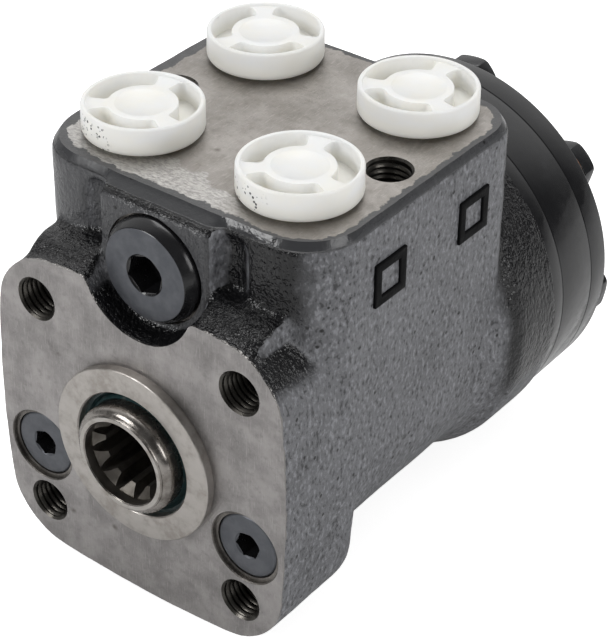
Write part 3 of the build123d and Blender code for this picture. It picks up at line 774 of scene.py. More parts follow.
# ---- Finishes ----
@dataclass(frozen=True)
class CastPaint:
    """Black enamel over rough iron, grey and grainy on the side walls and darker in front; the side
    walls' grey and the front's dimmer grey are painted light, and the upper rear is painted shade.

    The levels are heights above the shaft and the edges are places along it, in millimetres.
    """

    name: str = "cast_paint"
    dark: Colour = (0.006, 0.006, 0.0068)
    # front and wall are painted light: the grey that front faces and side walls show from the lamps
    # and the bright surroundings; the paint itself is dark.
    front: Colour = (0.064, 0.065, 0.069)
    wall: Colour = (0.140, 0.142, 0.152)
    band: Colour = (0.048, 0.049, 0.052)
    pit: Colour = (0.012, 0.012, 0.012)
    bare: Colour = (0.26, 0.25, 0.24)
    band_level: float = 60.1
    # The rear edge and the shade level bound the painted shade on the upper rear; the front edge is
    # where the front's painted light ends across the block.
    rear_shade_edge: Pair = (81, 86)
    shade_level: Pair = (-20, -8)
    front_light_edge: Pair = (17, 13)
    chip_edge: Pair = (-0.12, -0.22)
    peel_depth: float = 0.35
    grain_depth: float = 0.3825
    pit_depth: float = 0.12

    def make(self) -> bpy.types.Material:
        """Build the material.

        Returns:
            The material.
        """
        f = Finish(self.name)
        x, y, z = (f.coordinate(axis) for axis in Axis)
        # Painted light: faces turned sideways take a lit grey and front faces left of the pad a
        # dimmer grey, while the upper rear and upward faces are kept black as painted shade.
        side = f.math("ABSOLUTE", f.facing((1, 0, 0)))
        drift = (f.noise(9, 3) - 0.5) * 0.5
        wall = f.ramp(side + drift, 0.38, 0.78)
        rear = f.ramp(y + drift * 12, *self.rear_shade_edge)
        upward = f.ramp(f.facing((0, 0, 1)), 0.35, 0.6)
        shaded = f.math("MAXIMUM", rear * f.ramp(z, *self.shade_level), upward)
        wall = wall * (1 - shaded)
        forward = f.ramp(f.facing((0, -1, 0)), 0.6, 0.92) * f.ramp(x, *self.front_light_edge)
        band = f.ramp(z, self.band_level, self.band_level + 0.5) * 0.85
        # Lay the painted front light, then the painted side-wall light, over the black.
        colour = f.blend(forward, self.dark, self.front)
        colour = f.blend(wall, colour, self.wall)
        colour = f.blend(f.ramp(f.noise(16, 3), 0.4, 0.75, (0, 0.3)), colour, self.dark)
        skin = f.noise(1.0, 2, 0.6, (1, 1, 1.6))
        # Lighter and darker grain flecks on the side walls: the grain is the paint's own, its
        # brightness rides on the painted wall light.
        colour = f.blend(f.ramp(skin, 0.52, 0.68) * (wall * 0.6), colour, scaled(self.wall, 2.1))
        colour = f.blend(f.ramp(skin, 0.46, 0.32) * (wall * 0.7), colour, self.dark)
        colour = f.blend(band, colour, self.band)
        solid = f.ramp(f.cells(4.6), 0.06, 0.13)
        colour = f.blend(solid, self.pit, colour)
        worn = f.ramp(y + f.noise(1.8, 4) * -1.1, *self.chip_edge)
        chip = worn * f.ramp(f.noise(11, 2), 0.42, 0.5)
        rough = f.math("MAXIMUM", wall, forward * 0.5)
        calm = 1 - band
        amount = (1.3 - rough * 0.35) * calm
        gloss = f.ramp(rough, 0, 1, (0.15, 0.42))
        haze = f.ramp(f.noise(5, 3), 0.3, 0.7, (-0.04, 0.07))
        f.set(Base_Color=f.blend(chip, colour, self.bare), Metallic=chip * 0.85)
        f.set(Roughness=gloss + haze, Specular_IOR_Level=0.45)
        peel = f.noise(2.6, 3)
        f.relief(
            [
                (peel * amount, self.peel_depth),
                (skin * amount, self.grain_depth),
                (solid * calm, self.pit_depth),
            ]
        )
        return f.material


@dataclass(frozen=True)
class Overpaint:
    """Paint that laps over a milled face's edge, and the rubbed strip before it.

    The strip runs along the front from rubbed_to forwards, and across the face between the
    two places in rubbed_across.
    """

    low: Pair = (-39.0, 12.3)
    high: Pair = (40.7, 88.7)
    corner: float = 12.0
    colour: Colour = (0.062, 0.062, 0.064)
    rubbed_to: float = 21.0
    rubbed_across: Pair = (27.0, 8.0)
    rubbed_dark: Colour = (0.27, 0.26, 0.25)
    rubbed_light: Colour = (0.50, 0.485, 0.465)

    def rubbed(self, f: Finish) -> Level:
        """Where the strip is rubbed bright, with a ragged edge.

        Args:
            f: The face's finish.

        Returns:
            The strip's share, from 0 to 1.
        """
        x, y = f.coordinate(Axis.X), f.coordinate(Axis.Y)
        ragged = (f.noise(8, 5, 0.6) - 0.5) * 20
        near = y + (ragged + x * 0.16)
        return f.ramp(near, self.rubbed_to + 1.5, self.rubbed_to) * f.ramp(x, *self.rubbed_across)

    def lap(self, f: Finish) -> Level:
        """Where the paint laps over the face, further in on the left.

        Args:
            f: The face's finish.

        Returns:
            The paint's share, from 0 to 1.
        """
        inner = f.inside(self.low, self.high, self.corner)
        left = f.ramp(f.coordinate(Axis.X), -18, -32, (-0.6, 0.8))
        return f.ramp(inner - (f.noise(3.5, 4, 0.6) * 4.2 + left), 0.15, -0.15)


@dataclass(frozen=True)
class MilledIron:
    """A milled face of grey iron: cutter arcs, fine scratches, stains and dull patches."""

    name: str
    centre: Point
    light: Colour
    dark: Colour
    rough: float = 0.42
    metal: float = 0.86
    arc_pitch: float = 0.7
    arc_depth: float = 0.012
    grain_depth: float = 0.03
    stain: Colour = (0.075, 0.062, 0.05)
    stains: tuple[tuple[Point, float], ...] = ()
    overpaint: Overpaint | None = None

    def make(self) -> bpy.types.Material:
        """Build the material.

        Returns:
            The material.
        """
        f = Finish(self.name)
        cloud = f.ramp(f.noise(11, 5, 0.65), 0.34, 0.66)
        grain = f.ramp(f.noise(0.5, 3, 0.75), 0.3, 0.7)
        wander = f.noise(20, 1) * 1.2
        arcs = (f.distance_from(self.centre) + wander) * (FULL_TURN / self.arc_pitch)
        scratch = f.ramp(f.noise(3.0, 3, 0.6, (0.12, 1, 1.4)), 0.56, 0.66)
        mottle = f.ramp(f.noise(2.4, 4, 0.7), 0.5, 0.72)
        colour = f.blend(cloud, self.dark, self.light)
        colour = f.blend(grain * 0.3, colour, self.light)
        colour = f.blend(mottle * 0.35, colour, scaled(self.dark, 0.62))
        colour = f.blend(scratch * 0.35, colour, scaled(self.light, 1.3))
        for spot, size in self.stains:
            near = f.distance_from(spot) + f.noise(1.4, 3) * 1.4
            colour = f.blend(f.ramp(near, size + 1.1, size * 0.5, (0, 0.75)), colour, self.stain)
        layers = [(f.math("SINE", arcs) * 0.5, self.arc_depth), (grain, self.grain_depth)]
        metal: object = self.metal
        if self.overpaint:
            over = self.overpaint
            rubbed, lap = over.rubbed(f), over.lap(f)
            speckle = f.ramp(f.noise(0.55, 3, 0.7, (2.2, 1, 1)), 0.3, 0.7)
            bright = f.blend(speckle, over.rubbed_dark, over.rubbed_light)
            colour = f.blend(rubbed, colour, bright)
            layers.append((speckle * rubbed, self.grain_depth))
            metal = (1 - lap) * self.metal
            colour = f.blend(lap, colour, over.colour)
        span = (self.rough - 0.07, self.rough + 0.1)
        f.set(Base_Color=colour, Metallic=metal, Roughness=f.ramp(f.noise(4, 4), 0.3, 0.7, span))
        f.relief(layers)
        return f.material


@dataclass(frozen=True)
class TurnedSteel:
    """Steel turned about an axis along Y: fine rings, rubbed bright with brown film."""

    name: str
    colour: Colour = (0.50, 0.475, 0.45)
    film: Colour = (0.22, 0.19, 0.16)
    rough: float = 0.26
    centre: Point = (0, 0, 0)
    ring_pitch: float = 0.22
    ring_depth: float = 0.004

    def make(self) -> bpy.types.Material:
        """Build the material.

        Returns:
            The material.
        """
        f = Finish(self.name)
        film = f.ramp(f.noise(5, 4, 0.65), 0.42, 0.7)
        rings = f.math("SINE", f.distance_from(self.centre) * (FULL_TURN / self.ring_pitch))
        span = (self.rough - 0.06, self.rough + 0.12)
        f.set(Base_Color=f.blend(film * 0.6, self.colour, self.film), Metallic=0.95)
        f.set(Roughness=f.ramp(f.noise(2.2, 3), 0.3, 0.7, span))
        f.relief([(rings * 0.5, self.ring_depth), (f.noise(0.5, 3, 0.7), 0.01)])
        return f.material


@dataclass(frozen=True)
class Enamel:
    """Smooth black enamel on machined steel, with slight sag waves and dust."""

    name: str
    colour: Colour = (0.007, 0.007, 0.008)
    rough: float = 0.13
    wave_depth: float = 0.06
    grain_depth: float = 0.012
    level: float = 0.5

    def make(self) -> bpy.types.Material:
        """Build the material.

        Returns:
            The material.
        """
        f = Finish(self.name)
        dust = f.ramp(f.noise(7, 4, 0.7), 0.55, 0.8)
        span = (self.rough - 0.04, self.rough + 0.08)
        f.set(Base_Color=f.blend(dust, self.colour, scaled(self.colour, 2.2)))
        f.set(Roughness=f.ramp(f.noise(3, 3), 0.3, 0.7, span), Specular_IOR_Level=self.level)
        f.relief([(f.noise(6, 2), self.wave_depth), (f.noise(1.1, 2), self.grain_depth)])
        return f.material


@dataclass(frozen=True)
class Phosphate:
    """Blue-grey phosphated steel with fine tooth marks."""

    name: str
    colour: Colour = (0.085, 0.090, 0.102)
    edge: Colour = (0.17, 0.175, 0.19)
    rough: float = 0.42
    metal: float = 0.55

    def make(self) -> bpy.types.Material:
        """Build the material.

        Returns:
            The material.
        """
        f = Finish(self.name)
        cloud = f.ramp(f.noise(4, 4, 0.6), 0.35, 0.7)
        span = (self.rough - 0.05, self.rough + 0.09)
        f.set(Base_Color=f.blend(cloud * 0.35, self.colour, self.edge), Metallic=self.metal)
        f.set(Roughness=f.ramp(f.noise(1.5, 3), 0.3, 0.7, span))
        f.relief([(f.noise(0.35, 2, 0.6), 0.01), (f.noise(3, 2), 0.02)])
        return f.material


@dataclass(frozen=True)
class Specks:
    """Stray paint specks round a point on a cap's outer wall, kept out of its pockets."""

    middle: Point
    cap_middle: Point
    reach: float = 9.0
    wall: Pair = (13.3, 13.6)
    level: Pair = (69.2, 68.2)
    colour: Colour = (0.02, 0.02, 0.02)

    def share(self, f: Finish) -> Level:
        """Where the specks are.

        Args:
            f: The cap's finish.

        Returns:
            Their share, from 0 to 1.
        """
        dots = f.ramp(f.cells(1.05), 0.36, 0.28)
        grow = f.ramp(f.noise(2.6, 3, 0.6), 0.47, 0.53)
        near = f.ramp(f.distance_from(self.middle), self.reach, self.reach * 0.7)
        near = near * f.ramp(f.coordinate(Axis.Z), *self.level)
        near = near * f.ramp(f.distance_from(self.cap_middle), *self.wall)
        return dots * grow * near


@dataclass(frozen=True)
class Polyethylene:
    """Milky white moulded plastic, warmer low on its wall, some of it with paint specks."""

    name: str
    specks: Specks | None = None
    colour: Colour = (0.86, 0.865, 0.86)
    warm: Colour = (0.885, 0.87, 0.81)
    warm_level: Pair = (68.2, 64.5)
    scatter: Point = (1.0, 0.95, 0.9)

    def make(self) -> bpy.types.Material:
        """Build the material.

        Returns:
            The material.
        """
        f = Finish(self.name)
        cloud = f.ramp(f.noise(12, 3), 0.35, 0.7)
        warm = f.math("MAXIMUM", cloud, f.ramp(f.coordinate(Axis.Z), *self.warm_level))
        colour = f.blend(warm, self.colour, self.warm)
        if self.specks:
            colour = f.blend(self.specks.share(f), colour, self.specks.colour)
        f.set(Base_Color=colour, Roughness=f.ramp(f.noise(3, 3), 0.3, 0.7, (0.36, 0.5)))
        f.set(Subsurface_Weight=0.55, Subsurface_Scale=0.0035, Subsurface_Radius=self.scatter)
        f.set(IOR=1.5)
        f.relief([(f.noise(5, 2), 0.05), (f.noise(0.7, 2), 0.006)])
        return f.material


@dataclass(frozen=True)
class Rubber:
    """Moulded rubber, slightly dusty, with an oily sheen."""

    name: str
    colour: Colour
    dust: Colour = (0.2, 0.2, 0.19)
    rough: float = 0.42

    def make(self) -> bpy.types.Material:
        """Build the material.

        Returns:
            The material.
        """
        f = Finish(self.name)
        dust = f.ramp(f.noise(2.2, 4, 0.7), 0.5, 0.75)
        span = (self.rough - 0.08, self.rough + 0.1)
        f.set(Base_Color=f.blend(dust * 0.35, self.colour, self.dust))
        f.set(Roughness=f.ramp(f.noise(1.4, 3), 0.3, 0.7, span))
        f.relief([(f.noise(0.5, 2), 0.012)])
        return f.material


@dataclass(frozen=True)
class Finishes:
    """Every finish of the unit, made once and shared."""

    paint: CastPaint = CastPaint()
    flange_face: MilledIron = MilledIron(
        "flange_iron",
        (-60, 0, 40),
        (0.385, 0.367, 0.36),
        (0.235, 0.225, 0.22),
        stains=(((-8.5, 0, -27), 0.9), ((-23.5, 0, 16.5), 0.5), ((-21.5, 0, -28.5), 0.8)),
    )
    port_face: MilledIron = MilledIron(
        "port_iron",
        (90, -70, 62),
        (0.33, 0.31, 0.29),
        (0.22, 0.205, 0.187),
        stains=(((-3, 33, 62.3), 0.9),),
        overpaint=Overpaint(),
    )
    bored: MilledIron = MilledIron(
        "bored_iron", (0, 0, 0), (0.22, 0.205, 0.19), (0.06, 0.055, 0.05), 0.36
    )
    pilot: TurnedSteel = TurnedSteel(
        "pilot_iron", (0.46, 0.435, 0.41), (0.24, 0.215, 0.19), 0.36, (0, -60, 0), 0.5, 0.006
    )
    spool: TurnedSteel = TurnedSteel("spool_steel", (0.30, 0.28, 0.26), (0.07, 0.058, 0.046), 0.2)
    lip: TurnedSteel = TurnedSteel("lip_steel", (0.44, 0.42, 0.395), rough=0.34)
    spline: TurnedSteel = TurnedSteel(
        "spline_steel", (0.20, 0.185, 0.165), (0.07, 0.06, 0.05), 0.42
    )
    # The thread's iron is painted far darker than the milled faces: painted shade inside the holes.
    thread: TurnedSteel = TurnedSteel(
        "thread_iron", (0.085, 0.08, 0.072), (0.018, 0.016, 0.014), 0.3
    )
    ground: TurnedSteel = TurnedSteel("ground_steel", rough=0.3)
    copper: TurnedSteel = TurnedSteel("washer_copper", (0.46, 0.22, 0.12), (0.05, 0.04, 0.04), 0.35)
    gear: Enamel = Enamel("gear_enamel")
    screw: Enamel = Enamel("screw_enamel", (0.012, 0.0125, 0.014), 0.24, 0.04, 0.024)
    mark: Enamel = Enamel("mark_enamel", (0.003, 0.003, 0.0034), 0.5, 0.12, 0.1, 0.06)
    plug: Phosphate = Phosphate("plug_phosphate")
    plug_side: Enamel = Enamel("plug_side_enamel", (0.01, 0.01, 0.011), 0.2, 0.02, 0.02)
    dust_seal: Rubber = Rubber("dust_seal_rubber", (0.013, 0.040, 0.042))
    seal: Rubber = Rubber("seal_rubber", (0.012, 0.012, 0.012))


class Shop:
    """The materials made so far, by name, so that pieces share them."""

    def __init__(self) -> None:
        """Start with an empty shelf."""
        self.shelf: dict[str, bpy.types.Material] = {}
        self.finishes = Finishes()

    def get(self, finish: object) -> bpy.types.Material:
        """Return a finish's material, made on first use.

        Args:
            finish: The finish.

        Returns:
            Its material.
        """
        if finish.name not in self.shelf:
            self.shelf[finish.name] = finish.make()
        return self.shelf[finish.name]

    def coat(self, piece: bpy.types.Object, *finishes: object) -> None:
        """Give an object its materials, the first for every face.

        Args:
            piece: The object.
            finishes: Its finishes, in the order of their indices.
        """
        piece.data.materials.clear()
        for finish in finishes:
            piece.data.materials.append(self.get(finish))


def install(piece: bpy.types.Object, body: str, node: str) -> None:
    """Let a piece ride on a body and hide the node that it stands for.

    Args:
        piece: The finished piece.
        body: The body's name.
        node: The CAD node that is hidden.
    """
    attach(piece, body)
    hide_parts(node)
    log.info("%s rides on %s with %d faces", piece.name, body, len(piece.data.polygons))


def paint_faces(
    piece: bpy.types.Object, index: int, wanted: Callable[[bpy.types.MeshPolygon], bool]
) -> None:
    """Give some faces another of the object's materials.

    Args:
        piece: The object.
        index: The material's index.
        wanted: The test that those faces pass.
    """
    for face in piece.data.polygons:
        if wanted(face):
            face.material_index = index


# ---- The casting ----
@dataclass(frozen=True)
class Layout:
    """Places that more than one sub-assembly needs."""

    relief_z: float = 45.4
    shock_x: float = 30.5
    shock_z: float = -13.1
    port_x: float = 22.0
    port_front: float = 30.2
    port_rear: float = 74.75
    screws: int = 7
    check_screw: int = 4

    def relief(self) -> Point:
        """A point on the relief valve's axis."""
        return (0, 0, self.relief_z)

    def shock(self, side: int) -> Point:
        """A point on a shock valve's axis, left with side -1 and right with 1."""
        return (side * self.shock_x, 0, self.shock_z)

    def screw_angle(self, index: int) -> float:
        """A cover screw's angle round the shaft, in degrees."""
        return 90 + 360 / self.screws * index


LAYOUT = Layout()


@dataclass(frozen=True)
class FlangeSize:
    """The square mounting flange with its slightly bowed sides."""

    half: float = 39.2
    bow: float = 2.8
    corner: float = 13.0
    stock: float = 1.5
    rear: float = 30.5
    rear_round: float = 6.0
    hole_circle: float = 82.5
    hole_root: float = 5.05
    hole_crest: float = 4.42
    hole_depth: float = 18.0
    hole_mouth: float = 5.55
    thread_pitch: float = 1.5

    def holes(self) -> list[Pair]:
        """The four threaded holes' places across and up."""
        reach = self.hole_circle / 2 * math.sqrt(0.5)
        return [(x, z) for x in (-reach, reach) for z in (-reach, reach)]


@dataclass(frozen=True)
class BlockSize:
    """The port block above the body, and the pad on its front."""

    left: float = -40.3
    right: float = 42.0
    front: float = 11.0
    rear: float = 90.0
    top: float = 62.3
    front_corner: float = 14.0
    rear_corner: float = 11.0
    band_inset: float = 1.3
    band_height: float = 2.3
    pad_half: float = 15.5
    pad_front: float = 7.05
    pad_slope: float = 3.1
    pad_bottom: float = 30.0
    flute_x: float = 19.0
    flute_y: float = 8.2
    flute_radius: float = 5.0
    flute_top: float = 56.8
    hole_middle: float = 1.2
    hole_reach: float = 30.5
    hole_y: float = 49.8
    port_radius: float = 9.4
    port_mouth: float = 10.6
    port_depth: float = 16.0

    def brackets(self) -> Pair:
        """Where the port face's two threaded holes lie across the block."""
        return self.hole_middle - self.hole_reach, self.hole_middle + self.hole_reach


@dataclass(frozen=True)
class BodySize:
    """The round body behind the flange and its rear flange."""

    radius: float = 42.0
    wall_top: float = 20.0
    shoulder: float = 36.0
    start: float = 22.0
    end: float = 79.5
    flare: float = 70.0
    cast_start: float = 88.0
    cast_radius: float = 46.7
    rear: float = 103.0


@dataclass(frozen=True)
class MarkSize:
    """The two raised square frames on the right wall."""

    fronts: Pair = (30.5, 63.0)
    width: float = 11.5
    bottom: float = 40.0
    top: float = 51.0
    rim: float = 2.3
    sunk: float = 0.6
    proud: float = 0.65
    broken: float = 0.32


@dataclass
class Casting:
    """The valve housing: cast skin first, machined faces and bores cut after it."""

    shop: Shop
    flange: FlangeSize = field(default_factory=FlangeSize)
    block_size: BlockSize = field(default_factory=BlockSize)
    body: BodySize = field(default_factory=BodySize)
    marks: MarkSize = field(default_factory=MarkSize)
    voxel: float = 0.95
    scallop_at: Point = (0.75, 0, 46.1)
    scallop_radius: float = 15.6
    check_circle: float = 25.07
    check_radius: float = 4.57

    def build(self) -> None:
        """Build the housing with its threads, ring and square marks."""
        skin = self.raw_skin()
        self.machine(skin)
        smooth(skin, 28)
        install(skin, "housing", "valve_housing")
        self.pilot_ring()
        self.threads()
        self.square_marks()

    def bowed_square(self) -> list[Point]:
        """The flange's outline in the plane of its unmachined face.

        Returns:
            The outline's points.
        """
        f = self.flange
        count = 8
        straight = f.half - f.corner
        signs = ((1, -1), (1, 1), (-1, 1), (-1, -1))
        plan: list[Pair] = []
        for corner, (sx, sz) in enumerate(signs):
            middle = (sx * straight, sz * straight)
            plan += arc(middle, f.corner, -90 + 90 * corner, 90 * corner, count)
            after = signs[(corner + 1) % len(signs)]
            x, z = plan[-1]
            goal = (x, after[1] * straight) if corner % 2 == 0 else (after[0] * straight, z)
            for i in range(1, count):
                share = i / count
                plan.append((x + (goal[0] - x) * share, z + (goal[1] - z) * share))
        swell = f.bow / f.half
        points = []
        for x, z in plan:
            wide = x * (1 + swell * (1 - (z / f.half) ** 2))
            tall = z * (1 + swell * (1 - (x / f.half) ** 2))
            points.append((wide, -f.stock, tall))
        return points

    def raw_flange(self) -> bpy.types.Object:
        """Extrude the flange and round its rear edge.

        Returns:
            The raw flange.
        """
        f = self.flange
        piece = prism("raw_flange", self.bowed_square(), (0, f.rear + f.stock, 0))
        back = f.rear - 0.01
        round_edges(piece, f.rear_round, lambda a, b: a.y > back and b.y > back, 6)
        return piece

    def raw_shoulder(self) -> bpy.types.Object:
        """Extrude the convex ridge between the flange's top and the block's front.

        Returns:
            The raw ridge.
        """
        side = [(1.2, 30), (1.2, 41.0), (2.6, 42.6), (5, 44.2), (8, 45.1), (13, 45.3), (13, 30)]
        reach, count, twice_radius = 33.0, 12, 552
        stations = [reach * (2 * i / count - 1) for i in range(count + 1)]
        sag = [x * x / twice_radius for x in stations]
        piece = filled("raw_shoulder", [(stations[0], y, z - sag[0]) for y, z in side])
        for i in range(count):
            step = (stations[i + 1] - stations[i], 0, sag[i] - sag[i + 1])
            extrude(Vector(step) * MM)
        close_up()
        return piece

    def raw_body(self) -> bpy.types.Object:
        """Extrude the U-shaped body behind the flange.

        Returns:
            The raw body.
        """
        b = self.body
        under = arc((0, 0), b.radius, 180, 360, 48)
        left = self.block_size.left
        shoulder = [(b.radius, b.shoulder), (left, b.shoulder), (-b.radius, b.wall_top)]
        outline = [(x, b.start, z) for x, z in under + shoulder]
        return prism("raw_body", outline, (0, b.end - b.start, 0))

    def raw_block(self) -> bpy.types.Object:
        """Extrude the port block and its band past the face, and cut its two flutes.

        Returns:
            The raw block.
        """
        s = self.block_size
        corners = (s.front_corner, s.rear_corner, s.rear_corner, s.front_corner)
        plan = rounded_plan((s.left, s.front), (s.right, s.rear), corners)
        piece = filled("raw_block", [(x, y, 0) for x, y in plan])
        extrude((0, 0, (s.top - s.band_height) * MM))
        extrude((0, 0, 2 * s.band_height * MM))
        inset = 4 * s.band_inset
        shrink = (1 - inset / (s.right - s.left), 1 - inset / (s.rear - s.front), 1)
        bpy.ops.transform.resize(value=shrink)
        close_up()
        tools = []
        for x in (-s.flute_x, s.flute_x):
            profile = [(0, 40), (s.flute_radius, 40), (s.flute_radius, s.flute_top)]
            profile += [(s.flute_radius * 0.82, s.flute_top + 2.0), (0, s.flute_top + 3.4)]
            tools.append(turned("flute", profile, Axis.Z, (x, s.flute_y, 0), 40))
        cut(piece, tools)
        return piece

    def raw_pad(self) -> bpy.types.Object:
        """Extrude the raised pad above the relief valve, sloped back to the port face.

        Returns:
            The raw pad.
        """
        s = self.block_size
        edge, above = s.front + s.band_inset, s.top + 0.7
        side = [
            (s.pad_front, s.pad_bottom), (s.pad_front, s.top - s.pad_slope), (edge + 1.2, above),
            (edge + 4, above), (edge + 4, s.pad_bottom),
        ]
        return prism("raw_pad", [(-s.pad_half, y, z) for y, z in side], (2 * s.pad_half, 0, 0))

    def raw_rear(self) -> bpy.types.Object:
        """Turn the curved flare and the rear flange.

        Returns:
            The raw rear end.
        """
        b = self.body
        count, curve = 8, 2.2
        foot, rear = b.radius - 0.2, b.rear + 1.5
        profile = [(0, b.flare), (foot, b.flare)]
        for i in range(1, count + 1):
            share = i / count
            rise = (b.cast_radius - b.radius + 0.2) * share**curve
            profile.append((foot + rise, b.flare + (b.cast_start - b.flare) * share))
        return turned("raw_rear", profile + [(b.cast_radius, rear), (0, rear)])

    def raw_skin(self) -> bpy.types.Object:
        """Cut the scallop and melt the raw volumes into one skin with wavy cast edges.

        Returns:
            The casting's skin.
        """
        front = [self.raw_flange(), self.raw_shoulder()]
        end = self.block_size.pad_front
        for piece in front:
            cut(piece, [rod("scallop", self.scallop_radius, -5, end, self.scallop_at)])
        pieces = front + [self.raw_body(), self.raw_block(), self.raw_pad(), self.raw_rear()]
        skin = merged("valve_housing_skin", pieces)
        self.shop.coat(skin, self.shop.finishes.paint)
        finish_with(skin, "REMESH", mode="VOXEL", voxel_size=self.voxel * MM, use_smooth_shade=True)
        finish_with(skin, "SMOOTH", factor=0.5, iterations=6)
        clouds = bpy.data.textures.new("cast_waves", "CLOUDS")
        clouds.noise_scale = 9 * MM
        clouds.noise_depth = 2
        waves = {"texture": clouds, "texture_coords": "LOCAL", "mid_level": 0.62}
        finish_with(skin, "DISPLACE", strength=0.3 * MM, **waves)
        bpy.data.textures.remove(clouds)
        return skin

    def machine(self, skin: bpy.types.Object) -> None:
        """Cut the machined faces, bores and holes out of the cast skin.

        Args:
            skin: The casting.
        """
        done = self.shop.finishes
        far, behind = 70, 130
        face = block("face_cutter", (-far, -20, -far), (far, 0, far))
        top = block("top_cutter", (-far, -25, self.block_size.top), (far, behind, 90))
        rear = block("rear_cutter", (-far, self.body.rear, -far), (far, behind, far))
        self.cut_machined(skin, [face], done.flange_face)
        self.cut_machined(skin, [top], done.port_face)
        self.cut_machined(skin, [rear], done.bored)
        self.cut_machined(skin, self.bore_tools(), done.bored)
        # The holes' walls take the same darkened iron, painted shade inside them.
        self.cut_machined(skin, self.hole_tools(), done.thread)

    def cut_machined(
        self, skin: bpy.types.Object, tools: list[bpy.types.Object], finish: object
    ) -> None:
        """Cut with several tools at once and leave their finish on what they cut.

        Args:
            skin: The casting.
            tools: The tools, which are used up.
            finish: The finish of the cut faces.
        """
        tool = merged("cutter", tools)
        self.shop.coat(tool, finish)
        finish_with(
            skin,
            "BOOLEAN",
            object=tool,
            operation=Cut.AWAY.value,
            solver="EXACT",
            material_mode="TRANSFER",
        )
        bpy.data.objects.remove(tool)

    def bore_tools(self) -> list[bpy.types.Object]:
        """Turn the valve, relief, shock and check bores as solid tools.

        Returns:
            The tools.
        """
        valve = [
            (0, -4), (16.0, -4), (16.0, 1.6), (14.2, 1.6), (14.2, 2.4), (18.0, 2.4), (18.0, 5.4),
            (14.2, 5.4), (14.2, 6.4), (19.0, 6.4), (19.0, 106), (0, 106),
        ]
        relief = [
            (0, 5), (13.35, 5), (13.35, 8.3), (9.02, 8.3), (9.02, 24), (6.2, 24), (6.2, 52),
            (0, 52),
        ]
        shock = [
            (0, -3), (9.55, -3), (9.55, -0.02), (9.3, 0.25), (9.3, 1.02), (8.36, 1.02), (8.36, 13),
            (6.0, 13), (6.0, 37), (0, 37),
        ]
        tools = [turned("valve_tool", valve), turned("relief_tool", relief, at=LAYOUT.relief())]
        for side in (-1, 1):
            tools.append(turned("shock_tool", shock, at=LAYOUT.shock(side)))
        check = around(self.check_circle, LAYOUT.screw_angle(LAYOUT.check_screw))
        tools.append(rod("check_tool", self.check_radius, 86, 106, check, 48))
        return tools

    def hole_tools(self) -> list[bpy.types.Object]:
        """Turn the threaded holes of both faces and the four ports, with chamfered mouths.

        Returns:
            The tools.
        """
        f, s = self.flange, self.block_size
        lead = f.hole_mouth - f.hole_root
        profile = [
            (0, -1), (f.hole_mouth + 1, -1), (f.hole_mouth, 0), (f.hole_root, lead),
            (f.hole_root, f.hole_depth), (0, f.hole_depth + 2),
        ]
        tools = [turned("screw_tool", profile, Axis.Y, (x, 0, z), 64) for x, z in f.holes()]
        upside = [(radius, -depth) for radius, depth in profile]
        for x in s.brackets():
            tools.append(turned("bracket_tool", upside, Axis.Z, (x, s.hole_y, s.top), 64))
        port = [
            (0, 1), (s.port_mouth + 1, 1), (s.port_mouth, 0), (s.port_radius, -1.2),
            (s.port_radius, -s.port_depth), (5.5, -s.port_depth), (5.5, -40), (0, -40),
        ]
        for x in (-LAYOUT.port_x, LAYOUT.port_x):
            for y in (LAYOUT.port_front, LAYOUT.port_rear):
                tools.append(turned("port_tool", port, Axis.Z, (x, y, s.top)))
        return tools

    def pilot_ring(self) -> None:
        """The turned centring ring with its stepped foot and lightly broken edges."""
        profile = [
            (16.0, 0.4), (16.0, -2.35), (16.3, -2.65), (21.85, -2.65), (22.0, -2.6), (22.2, -2.4),
            (22.2, -0.75), (21.9, -0.6), (21.9, 0.0), (21.9, 0.4),
        ]
        ring = turned("pilot_ring", profile, steps=160)
        self.shop.coat(ring, self.shop.finishes.pilot)
        smooth(ring, 25)
        install(ring, "housing", "valve_housing")

    def threads(self) -> None:
        """The screw threads in the flange's and the port face's holes."""
        f, s = self.flange, self.block_size
        turns, sunk = 7, 0.35
        first = thread("thread_0", f.hole_crest, f.hole_root + 0.05, f.thread_pitch, turns)
        self.shop.coat(first, self.shop.finishes.thread)
        coils = []
        for i, (x, z) in enumerate(f.holes()):
            coils.append(copied(first, f"flange_thread_{i}", (x, sunk, z)))
        for i, x in enumerate(s.brackets()):
            coil = copied(first, f"bracket_thread_{i}", (0, sunk, 0))
            turn(coil, -90, Axis.X)
            move(coil, (x, s.hole_y, s.top))
            coils.append(coil)
        bpy.data.objects.remove(first)
        for coil in coils:
            install(coil, "housing", "valve_housing")

    def square_marks(self) -> None:
        """Set the two raised square frames on the right wall."""
        m, wall = self.marks, self.block_size.right
        for i, front in enumerate(m.fronts):
            low, high = (wall - m.sunk, front, m.bottom), (wall + m.proud, front + m.width, m.top)
            frame = block(f"square_mark_{i}", low, high)
            inner_low = (wall - 2, front + m.rim, m.bottom + m.rim)
            inner_high = (wall + 2, front + m.width - m.rim, m.top - m.rim)
            cut(frame, [block("window", inner_low, inner_high)])
            finish_with(frame, "BEVEL", width=m.broken * MM, segments=3, limit_method="ANGLE")
            self.shop.coat(frame, self.shop.finishes.mark)
            smooth(frame, 40)
            install(frame, "housing", "valve_housing")


